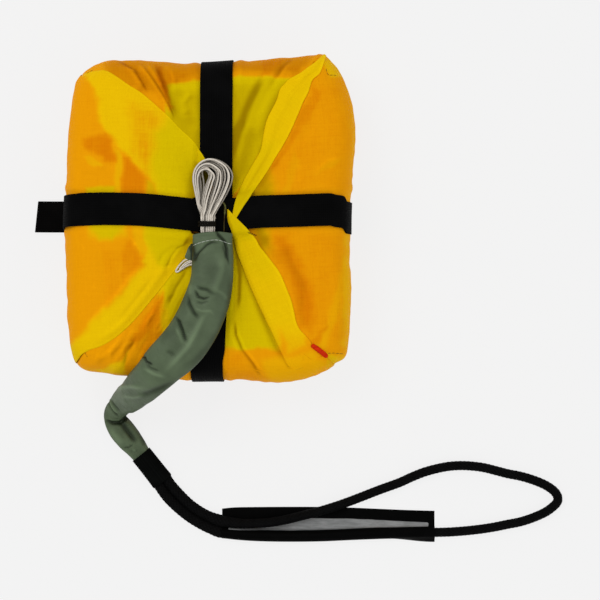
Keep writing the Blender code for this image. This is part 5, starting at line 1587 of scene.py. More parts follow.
def stitch_row(tree, line, diameter, stitch, gap, proud=0.5):
    """Grids of the short lengths of thread in a row of stitches on a surface."""
    path = smooth_curve(line, 0.3)
    reach = reach_along(path)
    bow = np.sin(np.linspace(0, pi, 9))
    size = diameter * (0.6 + 0.4 * bow)
    grids = []
    start = 0.0
    while start + stitch * 0.6 < reach[-1]:
        places = np.linspace(start, min(start + stitch, reach[-1]), 9)
        plan = np.stack([np.interp(places, reach, column) for column in path.T], -1)
        z = landings(tree, plan) + diameter * (proud * bow - 0.45 * (1 - bow))
        grids.append(tube_grid(np.column_stack((plan, z)), size, size, 7))
        start += stitch + gap
    return grids


def sew(name, grids, slot, material, *colours):
    """Stitches as one piece."""
    finish(skin(name, grids, around=True), slot, material, cord_finish, *colours)


def build_corner_stitches(sizes, colours):
    """Short rows of dark thread where the corner seams reach the top."""
    tree = surface_tree(*(name for name, *_ in FLAPS), "turned_edge_back", "turned_edge_front")
    thread = sizes.thread / MM
    grids = []
    for line in CORNER_STITCHES:
        grids += stitch_row(tree, line, thread, 2.9, 0.25, 0.3)
    sew("corner_stitches", grids, "wrap_hem", "dark_thread", colours.dark_thread,
        times(colours.dark_thread, 0.5), 0.5)
    zigzag = [(TACK_X + 0.85 * step, TACK_Y - 0.30 * step - 1.6 * (step % 2)) for step in range(9)]
    grids = []
    for ends in zip(zigzag[:-1], zigzag[1:]):
        grids += stitch_row(tree, ends, thread, 1.7, 0.1)
    sew("bar_tack", grids, "wrap_hem", "tack_thread", *TACK_COLOURS, 0.5)


TAB_ENDS = ((80.9, -100.0), (93.6, -109.8))
TAB_WIDTH = 3.8
TAB_THICKNESS = 1.5
TAB_POINTS = 40


def build_tab(sizes, colours):
    """The small red tab, a folded ribbon with rounded ends."""
    tree = surface_tree("wrap_body", "wrap_flap_right", "wrap_flap_front", "turned_edge_front")
    share = np.linspace(0, 1, TAB_POINTS)
    x, y = (part_way(*ends, share) for ends in zip(*TAB_ENDS))
    y = y + 0.5 * np.sin(pi * share)
    ground = landings(tree, zip(x, y))
    z = [ground[max(0, place - 3):place + 4].max() for place in range(TAB_POINTS)]
    end = np.sqrt(np.clip(1 - (np.abs(share - 0.5) * 2) ** 9, 0.02, 1))
    grid = tube_grid(np.stack((x, y, smoothed(z, 4) + 0.7), -1), TAB_WIDTH * end,
                     TAB_THICKNESS * end, 20, 2.6)
    finish(skin("pull_tab_ribbon", grid, around=True), "tab_ribbon", "red_ribbon", cord_finish,
           colours.tab, times(colours.tab, 0.72), 1.0, node="pull_tab")


# ----- Elastic straps -----

STRAP_COLUMNS = 27
STRAP_STEP = 1.5
STRAP_ROUNDING = 0.45
CROSSING_TOP = 3.4
TAIL_END = ((-140.0, 14.9), (-142.6, -10.3))
STRAP_ENDS_MEET = -45.0
WALL_ROWS = np.linspace(0, SHOULDER_ROW, 46)
RIGHT_SLANT = ((0, 2.5, 4.15, 4.3, 5.4), (2.2, -0.6, -0.4, 3.8, 4.6))  # rows, y of the middle


def across_columns(middle, width):
    """Offsets across a strap, for each row's middle."""
    return np.asarray(middle, float)[:, None] + np.linspace(-0.5, 0.5, STRAP_COLUMNS) * width


def wall_rows(rows, lift, middle, start, width):
    """Rows of points across a strap on the wall at an angle of 0, 90, 180 or 270 degrees."""
    offset = across_columns(middle + 0 * rows, width)
    row, lift = rows[:, None], (lift + 0 * rows)[:, None]
    sign = 1 if start in (0, 270) else -1
    angle = np.full(offset.shape, float(start))
    for _ in range(6):  # closes in on the angle at which the wall has this offset
        reach = norm(wrap_point(angle, row, lift)[..., :2], axis=-1)
        angle = start + sign * np.degrees(np.arcsin(offset / reach))
    return wrap_point(angle, row, lift)


def even_rows(grid, step):
    """The same strap with its rows at even distances and its corners eased."""
    reach = reach_along(grid[:, STRAP_COLUMNS // 2])
    places = np.linspace(0, reach[-1], int(reach[-1] / step))
    flat = grid.reshape(len(grid), -1)
    even = np.array([np.interp(places, reach, column) for column in flat.T]).T
    for _ in range(3):
        even[1:-1] = 0.25 * even[:-2] + 0.5 * even[1:-1] + 0.25 * even[2:]
    return even.reshape(-1, grid.shape[1], 3)


def build_strap(name, node, parts, sizes, colours, salt):
    """One elastic strap: ribbed webbing with rounded edges."""
    grid = even_rows(np.concatenate(parts), STRAP_STEP)
    normal = np.cross(np.gradient(grid, axis=0), np.gradient(grid, axis=1))
    normal /= norm(normal, axis=-1, keepdims=True)
    rib = np.where(np.arange(STRAP_COLUMNS) % 2 == 0, 0.06, -0.04)
    rib[:2] = rib[-2:] = 0.0
    pull = 0.10 * bumps(np.arange(len(grid))[:, None] * 0.7, 0, 6, 71)
    grid = grid + normal * (rib + pull)[..., None]
    reach = reach_along(grid[:, STRAP_COLUMNS // 2])
    piece = skin(name, grid, weave=stacked(
        reach[:, None], np.linspace(0, sizes.strap_width / MM, STRAP_COLUMNS), salt))
    thicken(piece, sizes.webbing / MM)
    rounded = piece.modifiers.new("Edges", "BEVEL")
    rounded.width = STRAP_ROUNDING * MM
    rounded.segments = 2
    rounded.limit_method = "ANGLE"
    rounded.angle_limit = radians(50)
    finish(piece, "elastic_webbing", "woven_elastic", webbing, colours.elastic, 1.6, 1.9, node=node)


def build_lengthways(sizes, colours):
    """The strap from front to back, whose ends meet under the block."""
    width, height = sizes.strap_width / MM, sizes.webbing / MM
    ys = np.linspace(STRAP_ENDS_MEET + 1, 108, 60), np.linspace(-109, STRAP_ENDS_MEET, 40)
    first, last = (stacked(across_columns(np.interp(y, BOTTOM_YS, BOTTOM_XS), width), y[:, None],
                           height) for y in ys)
    lift = np.interp(WALL_ROWS, (3, 5), (LIFT_WALL_STRAP, LIFT_LENGTHWAYS))
    back = wall_rows(WALL_ROWS, lift, LENGTHWAYS_XS[-1], 90, width)
    front = wall_rows(WALL_ROWS[::-1], lift[::-1], LENGTHWAYS_XS[0], 270, width)
    y = np.linspace(102, -103, 150)
    x = across_columns(np.interp(y, LENGTHWAYS_YS, LENGTHWAYS_XS), width)
    top = drape(x, y[:, None], LIFT_LENGTHWAYS)
    build_strap("elastic_lengthways", "strap_lengthways", (first, back, top, front, last), sizes,
                colours, 0.0)


def build_across(sizes, colours):
    """The strap from left to right, with its loose end on the floor at the left."""
    width, height = sizes.strap_width / MM, sizes.webbing / MM
    share = np.linspace(1, 0, STRAP_COLUMNS)
    tail = stacked(*(part_way(*ends, share) for ends in zip(*TAIL_END)), height)[None]
    x = np.concatenate((np.linspace(-128, -104, 12), np.linspace(-102, 97, 120)))
    rise = np.interp(x, CROSSING_REACH, (height, CROSSING_TOP, CROSSING_TOP, height))
    bottom = stacked(x[:, None], across_columns(BOTTOM_Y + 0 * x, width), rise[:, None])
    right = wall_rows(WALL_ROWS, LIFT_WALL_STRAP, np.interp(WALL_ROWS, *RIGHT_SLANT), 0, width)
    x = np.linspace(96, -97, 150)
    y = across_columns(np.interp(x, ACROSS_XS, ACROSS_YS), width)
    top = drape(x[:, None], y, across_lift(x)[:, None])
    lift = np.interp(WALL_ROWS, (3, 5), (LIFT_WALL_LEFT, LIFT_ACROSS_LEFT + SHOULDER_SLACK))
    left = wall_rows(WALL_ROWS, lift, 1.8 + 0.6 * WALL_ROWS, 180, width)[::-1]
    build_strap("elastic_across", "strap_across", (tail, bottom, right, top, left), sizes, colours,
                30.0)


# ----- Lines: hank, band, bight and closing cord -----

HANK = (  # y, height of the middle
    (-30, 93.6), (-11.4, 94.6), (-3, 95.2), (-0.5, 95.4), (5, 95.6), (13, 95.6), (23, 95.2), (31, 94.4),
    (38, 93.4), (42.5, 92.8), (45, 92.4))
HANK_YS, HANK_HEIGHTS = zip(*HANK)
NECK_X, NECK_Y = 0.9, -1.5
NECK_PITCH = 1.38
LOOP_COURSE = (  # plan of the smallest loop and of the largest, side by side
    ((-4.4, 8), (-6.7, 7)),
    ((-4.9, 14.6), (-8, 14.2)),
    ((-5.7, 21), (-9.3, 21.6)),
    ((-6.3, 26.6), (-10.1, 28.4)),
    ((-6.2, 30.4), (-9.2, 34.6)),
    ((-5.2, 32.6), (-6.6, 39.2)),
    ((-3.4, 33.9), (-2, 43.3)),
    ((-1.2, 33.6), (3.6, 44.9)),
    ((0.1, 31.6), (9.8, 43.4)),
    ((0.1, 28.8), (16.4, 39)),
    ((-1.2, 24.8), (20.1, 32.8)),
    ((-3, 20.4), (19.7, 26.6)),
    ((-4.3, 15.4), (17.2, 19.8)),
    ((-4.8, 10.4), (13.4, 12.6)),
    ((-4.5, 5), (8.8, 5.2)))
LEG_POINTS = 5         # points of the course on each leg, the rest being the arch
LEG_RAISE = 1.25       # how far the right legs lie above, and the left ones below, the middle
TURN_Y = -20.0
STRAND_SIDES = 8
LINE_STEP = 1.05       # between two rings of the hank's mesh


def hank_height(y):
    """Height of the middle of the hank."""
    return np.interp(y, HANK_YS, HANK_HEIGHTS)


def hank_loop(number, count, shift):
    """Plan points and layers of one loop of the hank."""
    share = (number + 0.5) / count
    inner, outer = (np.array(side) for side in zip(*LOOP_COURSE))
    places, last = np.arange(len(inner)), len(inner) - 1
    spread = np.full((len(inner), 1), share)
    spread[LEG_POINTS:-LEG_POINTS] = share ** 0.8
    loop = part_way(inner, outer, spread)
    stray = shift.normal(0, 1, 4)
    part = np.linspace(0, pi, len(loop))[:, None]
    loop += np.sin(part) * stray[:2] * (0.6, 0.9) + np.sin(part * 2) * stray[2:] * 0.45
    if number % 4 == 1:  # a few legs stray into the opening
        loop[1:LEG_POINTS + 1, 0] += (1.6, 3.0, 3.2, 2.0, 0.8)
    rising, falling = number * 5 % 4 - 1.5, number % 4 - 1.5
    layer = np.interp(places, (LEG_POINTS, last - LEG_POINTS), (rising, falling))
    raised = np.interp(places, (2, last - LEG_POINTS), (-LEG_RAISE, LEG_RAISE))
    return loop, layer * 1.5 + raised


def neck_leg(number, count, right):
    """Plan points through the neck, and layers, of one leg of a loop, from the mouth inwards."""
    column = number * 8 // count
    side = 1 if right else -1
    x = NECK_X + ((column if right else 7 - column) - 3.5) * NECK_PITCH
    leg = [(x * 0.8 + side * 1.6, TURN_Y), (x, -12.0), (x, NECK_Y - 4.0), (x, NECK_Y - 1.4),
           (x, NECK_Y + 1.2)]
    return x, leg, [(number % 2) * 1.5 - 0.75 + side * 1.5] * len(leg)


def hank_path(count):
    """One long line: up a loop, round it, down through the neck, round and up the next."""
    shift = np.random.default_rng(81)
    points, lifts = [], []
    for number in range(count):
        (_, up, low), (x, down, high) = (neck_leg(number, count, side) for side in (False, True))
        loop, layers = hank_loop(number, count, shift)
        points += [*up, *loop, *down[::-1]]
        lifts += [*low, *layers, *high]
        if number < count - 1:
            points.append((x * 0.4, TURN_Y - 5.0 - 0.8 * (number % 4)))
            lifts.append(0.0)
    plan = np.array(points)
    curve = spline(np.column_stack((plan, hank_height(plan[:, 1]) + lifts)), OUTLINE_STEPS)
    return evenly(curve, int(reach_along(curve)[-1] / LINE_STEP))


def build_hank(sizes, colours):
    """The hank of suspension lines: nested loops of one long line, gathered in the neck."""
    path = hank_path(sizes.loops)
    diameter = sizes.line / MM
    reach = reach_along(path)
    twist = 1 + 0.05 * np.sin(reach * 2.2)
    grid = tube_grid(path, diameter * twist, diameter * (2 - twist) * 0.95, STRAND_SIDES)
    weave = ring_weave(grid)
    weave[..., 2] = np.floor(reach / reach[-1] * sizes.loops)[:, None] * 5.0
    above = grid[..., 2] - path[:, None, 2]
    depth = path[:, 2] - hank_height(path[:, 1])
    # Painted shade in the grooves under each strand and on the lower layers of the hank.
    groove_shade = 1 - ease(above, -0.25 * diameter, 0.50 * diameter)
    sunk_shade = 1 - ease(depth, -2.6, 3.0)[:, None]
    hank = skin("hank_line", grid, around=True, weave=weave,
                tints_and_shade=stacked(0, 0, 0, 1 - (1 - groove_shade * 0.95) * (1 - sunk_shade * 0.68)))
    finish(hank, "suspension_line", "braided_line", line_finish, colours.line, node="line_hank")


BAND_TURNS = ((-5.2, -0.04), (-7.4, 0.04))  # y of each turn's middle, lean
BAND_SIZE = (12.0, 7.2)
BAND_WIDTH = 2.1
BAND_SHEET = 1.0
BAND_SIDES = 72


def build_band(sizes, colours):
    """The rubber band: two flat turns round the neck of the hank."""
    across, up = (side[:, None] for side in round_section(BAND_SIDES, 2.5))
    turn = tau * np.arange(18) / 18
    out, over = (np.sign(part) * np.abs(part) ** 0.55 * size / 2 for part, size in (
        (np.cos(turn), BAND_SHEET), (np.sin(turn), BAND_WIDTH)))
    x_reach, z_reach = (size / 2 + BAND_SHEET / 2 + out for size in BAND_SIZE)
    grids = []
    for number, (y, lean) in enumerate(BAND_TURNS):
        wave = 0.12 * np.sin(np.arange(BAND_SIDES) * tau / BAND_SIDES * 3 + number)[:, None]
        grid = stacked(NECK_X - 0.7 + across * x_reach, y + over + lean * across * 3 + wave,
                       hank_height(-5.5) + up * z_reach)
        grids.append(np.concatenate((grid, grid[:1])))
    band = skin("band_turns", grids, around=True, caps=False)
    reshape(band, lambda shape: bmesh.ops.remove_doubles(shape, verts=shape.verts, dist=1e-6))
    finish(band, "band_rubber", "matt_rubber", rubber_finish, colours.rubber, node="rubber_band")


BIGHT = (  # plan points of the loops beside the sleeve, and height above the cloth
    (-10, -32.8, 4.4), (-17.6, -34.6, 3.2), (-23, -39.2, 1.4), (-26.2, -44, 0.8), (-25.6, -45.4, 0.8),
    (-23.6, -44.6, 1.2), (-18, -41, 2.6), (-9, -36.8, 3.6), (-4.5, -36, 3), (-4.2, -33.6, 3.6),
    (-9, -34.4, 4.6), (-16.4, -36.6, 3.6), (-21.2, -41, 1.8), (-22.6, -43, 1.3), (-20.6, -42.8, 1.6),
    (-15.8, -39.6, 3.4), (-8.5, -38.2, 3.8), (-4, -37.4, 3.2), (-3.6, -35.4, 3.8), (-8.5, -35.4, 5.2),
    (-15, -37.6, 4.4), (-19.2, -40.6, 3))
BIGHT_ROOT = np.array((-11.9, -34.6))
BIGHT_SHARE = 0.86     # size of the bight against its plan, from its root


def build_bight(sizes, colours):
    """A small bight of line that slips out beside the sleeve."""
    tree = surface_tree("wrap_flap_left", "wrap_flap_front")
    curve = smooth_curve(BIGHT, 0.7)
    curve[:, :2] = BIGHT_ROOT + (curve[:, :2] - BIGHT_ROOT) * BIGHT_SHARE + (0, 0.7)
    curve[:, 2] += smoothed(landings(tree, curve[:, :2]), 8)
    path = evenly(curve, len(curve))
    grid = tube_grid(path, sizes.line / MM, sizes.line / MM, STRAND_SIDES)
    shade = 0.8 * (1 - ease(grid[..., 2] - path[:, None, 2], -0.5, 0.65))
    bight = skin("bight_line", grid, around=True, weave=ring_weave(grid) + (0, 0, 90.0),
                 tints_and_shade=stacked(0, 0, 0, shade))
    finish(bight, "suspension_line", "braided_line", line_finish, colours.line, node="line_bight")
    reach_along(path)[-1] * MM


CLOSING_LOOP = ((3, 13.5), (7.4, 12.2), (10.9, 10.9), (12.5, 10.2), (13.7, 8.6), (14, 5.9), (13.7, 2.7),
    (13.4, -2), (13.2, -7), (13.2, -10.4), (13, -15))
CLOSING_LIFT = 6.6     # of the cord away from the strap


def build_closing_cord(sizes, colours):
    """The thin cord that closes the wrap, beside the hank."""
    x, y = smooth_curve(CLOSING_LOOP, 0.6).T
    lift = part_way(CLOSING_LIFT, across_lift(x) + 1.6, 1 - ease(beside_across(x, y), 0, 4))
    diameter = sizes.closing_cord / MM
    path = drape(x, y, lift + 0.35 + diameter / 2)
    size = np.interp(np.linspace(0, 1, len(path)), (0, 0.30, 0.42, 0.62, 1), (1, 1, 1.5, 0.75, 0.75))
    grid = tube_grid(path, diameter * size, diameter * size, 10)
    shade = ease(-path[:, 1:2], -5.5, 1.0) * 0.8 + 0 * grid[..., 0]
    cord = skin("closing_cord", grid, around=True, tints_and_shade=stacked(0, 0, 0, shade))
    finish(cord, "closing_cord", "twisted_cord", cord_finish, colours.cord, (0.09, 0.055, 0.02),
           0.9, node="closing_loop")
    reach_along(path)[-1] * MM


# ----- Sleeve -----

SLEEVE = (  # stations: x, y, height of the middle, width, thickness
    (4.5, -12.4, 94.6, 30.4, 10.4), (4.5, -17, 94.4, 31, 11.2), (4.5, -24, 94.2, 31.5, 13),
    (4.6, -36.5, 94.6, 32.7, 17), (4, -50, 94.7, 33.5, 18), (-0.5, -67, 94.6, 36.5, 18),
    (-10.5, -89, 94.2, 37, 18), (-23, -105, 92.8, 36.5, 17.5), (-35, -116.5, 90, 33.5, 16.5),
    (-44.5, -126, 82.5, 30, 15.5), (-53, -134, 68, 28, 14.5), (-60.5, -140.5, 50, 25, 14),
    (-67, -145, 33, 23, 13.5), (-72.5, -149.6, 19.5, 20.5, 12.5), (-77, -156, 10.8, 19, 12.5),
    (-76.5, -162.5, 7.9, 19.5, 12.5), (-72.5, -169, 7.3, 21, 12), (-66, -177.5, 6.7, 20.5, 11.5),
    (-61, -183.5, 6, 18.5, 10.5), (-56.4, -189.8, 5.4, 16.4, 9.6), (-55, -191.8, 5.2, 14.4, 8))
SLEEVE_SIDES = 96
SLEEVE_STEP = 0.9
SLEEVE_ENDS = 0.30     # share of a crease over which it fades at each end
SLEEVE_DEPTH = 1.15    # of the creases in the tube
SLEEVE_GROOVE = 0.72   # how dark the painted shade in a groove is for each millimetre of its depth
SLEEVE_HIGHLIGHT = 1.5     # strength of the painted highlight on the lit ridges
SLEEVE_FOLDS = (  # plan line, height, width on its left and on its right
    (((5.4, -7), (9.2, -15.3), (14.1, -19.6), (16, -25.8), (16.7, -32.7), (17.4, -38.1)), -1.9, 1.1, 1.1),
    (((11.7, -20.5), (14.3, -28.1), (15.8, -35.8)), -0.9, 1, 1),
    (((-12, -38), (-10.5, -35), (-6.2, -28.8), (0, -22.8), (4.3, -20.7), (11.7, -21.4)), -1.2, 1, 0.8),
    (((-6, -33), (-1, -27), (5, -25), (11, -27)), 0.7, 3, 4),
    (((11.2, -28), (12, -41.9), (8.9, -51.1), (6.2, -58.8), (5.1, -65)), 0.7, 2.4, 3),
    (((-10, -54.6), (-4.2, -56.2), (0, -57), (4.3, -59.6), (11, -62.2)), -1.3, 1.4, 1),
    (((-10.2, -55.6), (-6.2, -62.5), (-1.9, -64.1), (4.6, -62.2)), -1.6, 0.9, 0.9),
    (((-9.2, -66), (-3.4, -67.5), (2.8, -65.4)), -0.9, 0.9, 0.9),
    (((6, -56), (13.5, -60.4), (16.6, -66)), 0.7, 1.8, 1.4),
    (((-15, -60), (-13.4, -67.5), (-9.4, -74.8), (-3.6, -80.9)), -1.5, 1.2, 1.6),
    (((-10.6, -70.5), (-3.4, -73.5), (3.1, -73.2), (7, -78)), 0.7, 1, 1.2),
    (((-26.4, -75.5), (-21.3, -81.1), (-18.4, -88.3), (-16.3, -94.8), (-13.8, -100.5)), -2, 0.9, 1.1),
    (((-24, -84), (-20.2, -92.5), (-16.4, -101)), 0.6, 1.4, 1.8),
    (((-1, -76), (-8.3, -90.4), (-14.3, -101.2), (-20.2, -107.9), (-27.2, -115.4), (-35, -123)), 1.2, 2,
     2.6),
    (((-53, -107), (-48.4, -109.3), (-47, -112.7), (-40.5, -115.6)), -1.8, 1, 0.9),
    (((-49, -113.4), (-43, -117.8), (-35, -120.6)), -1, 0.9, 0.9),
    (((-50, -116.4), (-40.2, -121.7), (-30.5, -124.2)), 0.8, 1, 1.2),
    (((-32, -104), (-27, -106), (-24, -110)), -0.8, 1.6, 1.6),
    (((-57, -140.6), (-45.6, -137.3), (-37.2, -133.8), (-24, -128)), -0.9, 2.2, 2),
    (((-78.5, -136.6), (-67.1, -133), (-59, -132.1), (-48, -133.4)), 0.8, 1.6, 1.8),
    (((-70, -140.5), (-58, -141), (-48, -138.6)), 0.6, 1.4, 1.4),
    (((-84, -142.6), (-80.3, -150), (-77.2, -154.8), (-72.5, -161)), -1.5, 1.1, 1),
    (((-80.6, -143.4), (-75.5, -150), (-70.2, -156)), -1, 1, 1),
    (((-82.2, -143), (-77.8, -150.6), (-73.4, -156.6)), 0.9, 0.9, 0.9),
    (((-87, -160.8), (-79, -164.2), (-72.9, -163.8), (-66.6, -159.3), (-61, -153)), -2.4, 1.1, 1.5),
    (((-73, -161), (-67.8, -169.5), (-63.9, -174.4), (-59.6, -179.8)), -1.3, 2.2, 2.2),
    (((-78.6, -169), (-73.4, -175.6), (-67, -181.6)), 0.8, 2.6, 2.4),
    (((-72, -184.6), (-66.5, -184.2), (-61.6, -181)), -1, 0.9, 0.9),
    (((-66, -186.4), (-62, -187.6), (-58, -186)), -0.6, 1, 1.2))
SLEEVE_SHADES = (  # plan line, darkness of the painted shade, width on its left and on its right
    (((-11.6, -19), (-10.8, -23), (-9.8, -28), (-8.4, -32), (-10, -37)), 1, 1.7, 3.4),
    (((-12, -38), (-10.5, -35), (-6.2, -28.8), (0, -22.8), (4.3, -20.7), (11.7, -21.4)), 0.88, 0.75, 0.6),
    (((5.4, -7), (9.2, -15.3), (14.1, -19.6), (16, -25.8), (16.7, -32.7), (17.4, -40)), 0.92, 0.75, 0.75),
    (((19, -40), (18.8, -57.3), (16.5, -72.7), (10.6, -88.1), (2.4, -99.7), (-8.4, -111), (-24, -121)),
     0.42, 5, 2.6),
    (((-72.5, -160.5), (-67.8, -168.5), (-63.9, -174.4), (-59.2, -181)), 0.85, 2.2, 2.4),
    (((-66, -159), (-59, -166.8), (-55.1, -175), (-52, -184)), 0.8, 3.4, 2.4),
    (((-87, -160.8), (-79, -164.2), (-72.9, -163.8), (-66.6, -159.3), (-62, -154)), 0.7, 1, 1.6),
    (((-58, -142), (-45.6, -138.3), (-37.2, -134.8), (-22, -127)), 0.5, 2.4, 2.8),
    (((-54, -106.5), (-49.4, -108.6), (-47, -112.4), (-41.5, -115.2)), 0.75, 1, 0.8),
    (((-13, -60), (-14, -68), (-18, -78), (-30, -98)), 0.2, 2.4, 5),
    (((-4, -46), (-8, -56)), 0.16, 5, 5),
    (((-82, -143), (-85.4, -152), (-84.4, -162)), 0.25, 2.4, 3),
    (((-71, -161), (-64, -170), (-58.5, -180)), 0.26, 6, 3))
SLEEVE_LIGHTS = (  # plan line, strength of the painted highlight, width on its left and on its right
    (((11.6, -27), (12.4, -41.9), (9.3, -51.1), (6.6, -58.8), (5.5, -66)), 0.3, 2, 2.6),
    (((4, -70), (-2.6, -78.9), (-8.3, -90.4), (-14.3, -101.2), (-20.2, -107.9), (-27.2, -115.4),
     (-36, -123.6)), 0.52, 1.6, 2.4),
    (((-24.4, -84), (-20.6, -92.5), (-17, -101)), 0.34, 1.1, 1.4),
    (((-10.6, -70.5), (-3.4, -73.7), (3.1, -73.4), (7, -78)), 0.3, 0.9, 1),
    (((-13, -52), (-12.6, -62)), 0.3, 1.4, 1.6),
    (((7, -57), (13.5, -60.8), (16.6, -66)), 0.24, 1.6, 1.2),
    (((-50, -116.8), (-40.2, -122.1), (-30.5, -124.8)), 0.46, 1, 1.4),
    (((-78.5, -137), (-67.1, -133.4), (-59, -132.5), (-46, -133.8)), 0.4, 1.4, 1.8),
    (((-70, -140.8), (-58, -141.6), (-48, -139)), 0.34, 1.2, 1.4),
    (((-82.2, -143.4), (-77.8, -151), (-73.4, -157)), 0.34, 0.8, 0.9),
    (((-83, -166), (-77, -174.5), (-70, -183)), 0.42, 2.6, 3),
    (((-64, -186.6), (-60, -186.4)), 0.3, 1.2, 1.2))


def build_sleeve(sizes, colours):
    """The sleeve: a limp tube of coated cloth, open at its mouth, wrinkled where it bends."""
    stations = smooth_curve(SLEEVE, SLEEVE_STEP)
    across, up = round_section(SLEEVE_SIDES, 2.25)
    frames = tube_frames(stations[:, :3])
    mouth = (1 - ease(np.arange(len(stations)) * SLEEVE_STEP, 0, 16))[:, None]
    squash = 1 - 0.10 * mouth * (1 - bell(across + 0.1, 0.45))
    width, height = stations[:, 3:4] / 2, stations[:, 4:] / 2 * squash
    grid = rings(stations[:, None, :3], frames, across * width, up * height)
    outward = rings(0, frames, across * height, up * width)
    outward /= norm(outward, axis=-1, keepdims=True)
    x, y = grid[..., 0], grid[..., 1]
    facing = ease(outward[..., 2], -0.15, 0.35)
    relief = pressed(x, y, SLEEVE_FOLDS, SLEEVE_ENDS)
    reach = reach_along(stations)[:, None]
    around = np.arange(SLEEVE_SIDES) * 90 / SLEEVE_SIDES
    beside = np.abs(around - 45)
    loose = (0.75 * bumps(reach, beside * 0.8, 16, 91)
             + 0.34 * bumps(reach * 0.8 + around * 0.5, beside, 8.0, 92)
             + 0.16 * bumps(reach * 0.7 - around * 0.6, beside * 0.9, 4.2, 93))
    loose = loose * (0.62 + 0.4 * bell(reach - 191, 22)) * (1 - 0.6 * mouth)
    collar = 0.5 * bell(reach - 1.2, 1.0)
    # Painted shade in the fourth channel: lines, grooves, sides facing down, hollows of the wrinkles.
    tints_and_shade = tint_layer(x, y, (), SLEEVE_SHADES)
    shade = (1 - tints_and_shade[..., 3]) * (1 - np.clip(-relief * SLEEVE_GROOVE - 0.1, 0, 0.95))
    shade = shade * (1 - 0.45 * (1 - ease(outward[..., 2], -0.2, 0.8)))
    tints_and_shade[..., 3] = 1 - shade * (1 - np.clip(-loose * 0.5, 0, 0.5))
    # Painted highlight in the other three: the light lines and the ridges that face up.
    lit = pressed(x, y, SLEEVE_LIGHTS, SLEEVE_ENDS) * SLEEVE_HIGHLIGHT
    lit = lit + np.clip(relief * 0.25 + loose * 0.36 - 0.1, 0, 1)
    tints_and_shade[..., :3] = (np.clip(lit, 0, 1) * facing)[..., None]
    grid = grid + outward * (relief * facing * SLEEVE_DEPTH + loose + collar - 0.3)[..., None]
    # The mouth's edge is highest in the middle and falls away to its sides.
    grid[..., 1] += mouth * (0.3 - 1.9 * across ** 2 + 0.45 * across)
    grid[..., 2] = np.maximum(grid[..., 2], sizes.sleeve / MM)
    sleeve = skin("sleeve_cloth_tube", grid, around=True, caps=False, tints_and_shade=tints_and_shade)
    thicken(sleeve, sizes.sleeve / MM, -1.0)
    finish(sleeve, "sleeve_cloth", "sleeve_nylon", sleeve_finish, colours.sleeve,
           node="line_sleeve")
    girth = float(norm(np.diff(grid, axis=1, append=grid[:, :1]), axis=2).sum(axis=1).mean())
    build_ear(sizes, colours)
    stitches = stitch_row(surface_tree("sleeve_cloth_tube"), SLEEVE_STITCH,
                          sizes.thread / MM * 1.15, 3.4, 0.0, 0.35)
    sew("sleeve_stitch", stitches, "sleeve_cloth", "white_thread", colours.white_thread,
        times(colours.white_thread, 0.85), 0.6)


SLEEVE_STITCH = ((-10.4, -23), (-6, -21.2), (-1.8, -20), (3, -19), (8.2, -18.8), (12.4, -19.8),
    (17, -21.4), (20, -21.9))
EAR_RIGHT = ((-8.7, -20), (-8.2, -24), (-7.6, -28.5), (-6.6, -32.6), (-6.4, -35))
EAR_LEFT = ((-12.3, -22), (-14.2, -24.6), (-15.9, -28.5), (-16.9, -31.4), (-15.2, -34))
EAR_ROWS, EAR_COLUMNS = 26, 14


def build_ear(sizes, colours):
    """The ear of cloth beside the sleeve's mouth."""
    left, right = (evenly(spline(side, OUTLINE_STEPS), EAR_ROWS)[:, None]
                   for side in (EAR_LEFT, EAR_RIGHT))
    share = np.linspace(0, 1, EAR_COLUMNS)
    plan = part_way(left, right, share[:, None])
    ground = landings(surface_tree("wrap_flap_left", "wrap_flap_front"), plan.reshape(-1, 2))
    end = np.linspace(0, 1, EAR_ROWS)[:, None]
    lift = 4.6 + 1.8 * share + 0.9 * np.sin(pi * share) - 1.6 * end
    gap = np.interp(end, (0, 0.2, 0.6, 1), (-0.9, 0.0, 1.5, 1.2))  # of the painted shadow on its margin, in plan
    # Painted shadow on the margin under the sleeve's edge; painted highlight on its left side.
    shade = 0.06 + 0.94 * ease(plan[..., 0], -14.4 + gap, -13.5 + gap)
    lit = 0.25 * (1 - ease(share, 0.0, 0.5))
    ear = skin("sleeve_ear", np.dstack((plan, ground.mean() + lift)),
               tints_and_shade=stacked(lit, lit, lit, shade))
    thicken(ear, sizes.sleeve / MM)
    finish(ear, "sleeve_cloth", "sleeve_nylon", sleeve_finish, colours.sleeve)


# ----- Operators and panel -----


def build(context, *steps):
    """Takes steps with the sizes and colours that are chosen."""
    for step in steps:
        step(context.scene.parachute_sizes, context.scene.parachute_colours)
    return {"FINISHED"}


class PARACHUTE_OT_stage(Operator):
    """Adds the floor, the lamps, the sky and the camera"""

    bl_idname = "parachute.stage"
    bl_label = "Stage"

    def execute(self, context):
        build_stage(context.scene.parachute_stage)
        return {"FINISHED"}


class PARACHUTE_OT_cover(Operator):
    """Adds the webbing cover and the label of the bridle"""

    bl_idname = "parachute.cover"
    bl_label = "Cover and label"

    def execute(self, context):
        return build(context, build_cover, build_label)


class PARACHUTE_OT_rope(Operator):
    """Adds the bridle rope with its braided sheath"""

    bl_idname = "parachute.rope"
    bl_label = "Bridle rope"

    def execute(self, context):
        return build(context, build_rope)


class PARACHUTE_OT_wrap(Operator):
    """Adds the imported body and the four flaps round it"""

    bl_idname = "parachute.wrap"
    bl_label = "Wrap"

    def execute(self, context):
        return build(context, build_body, build_flaps)


class PARACHUTE_OT_edges(Operator):
    """Adds the turned-over edges, the corner seams and the stitches"""

    bl_idname = "parachute.edges"
    bl_label = "Edges and seams"

    def execute(self, context):
        return build(context, build_turned_edges, build_seams, build_corner_stitches)


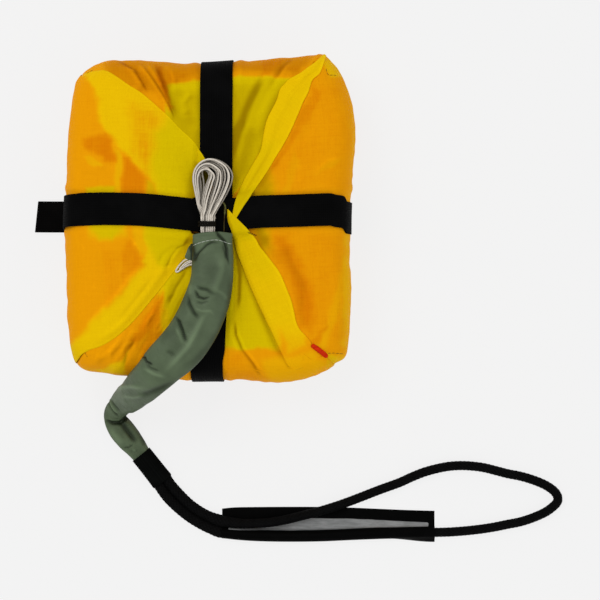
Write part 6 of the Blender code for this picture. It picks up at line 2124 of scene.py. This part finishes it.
class PARACHUTE_OT_straps(Operator):
    """Adds the two elastic straps"""

    bl_idname = "parachute.straps"
    bl_label = "Straps"

    def execute(self, context):
        return build(context, build_lengthways, build_across)


class PARACHUTE_OT_lines(Operator):
    """Adds the hank of lines, its rubber band, the bight and the closing cord"""

    bl_idname = "parachute.lines"
    bl_label = "Lines"

    def execute(self, context):
        return build(context, build_band, build_hank, build_bight, build_closing_cord)


class PARACHUTE_OT_sleeve(Operator):
    """Adds the sleeve with its stitching"""

    bl_idname = "parachute.sleeve"
    bl_label = "Sleeve"

    def execute(self, context):
        return build(context, build_sleeve)


class PARACHUTE_OT_tab(Operator):
    """Adds the small red pull tab"""

    bl_idname = "parachute.tab"
    bl_label = "Pull tab"

    def execute(self, context):
        return build(context, build_tab)


OPERATORS = (
    PARACHUTE_OT_stage, PARACHUTE_OT_cover, PARACHUTE_OT_rope, PARACHUTE_OT_wrap,
    PARACHUTE_OT_edges, PARACHUTE_OT_straps, PARACHUTE_OT_lines, PARACHUTE_OT_sleeve,
    PARACHUTE_OT_tab,
)


class PARACHUTE_PT_panel(Panel):
    """Lists the pieces, sizes and colours"""

    bl_label = "Packed parachute"
    bl_space_type = "VIEW_3D"
    bl_region_type = "UI"
    bl_category = "Parachute"

    def draw(self, context):
        layout = self.layout
        for operator in OPERATORS:
            layout.operator(operator.bl_idname)
        for place in GROUPS:
            group = getattr(context.scene, place)
            box = layout.box()
            for name in group.bl_rna.properties.keys():
                if name not in ("rna_type", "name"):
                    box.prop(group, name)


GROUPS = {"parachute_stage": ParachuteStage, "parachute_sizes": ParachuteSizes,
          "parachute_colours": ParachuteColours}


def register():
    """Makes the settings, the operators and the panel known to Blender."""
    for group in (*GROUPS.values(), *OPERATORS, PARACHUTE_PT_panel):
        bpy.utils.register_class(group)
    for name, group in GROUPS.items():
        setattr(bpy.types.Scene, name, PointerProperty(type=group))


def unregister():
    """Takes them away again."""
    for name in GROUPS:
        delattr(bpy.types.Scene, name)
    for group in reversed((*GROUPS.values(), *OPERATORS, PARACHUTE_PT_panel)):
        bpy.utils.unregister_class(group)


def main():
    """Builds every piece in order."""
    register()
    for operator in OPERATORS:
        getattr(bpy.ops.parachute, operator.bl_idname.split(".")[1])()


if __name__ == "__main__":
    main()
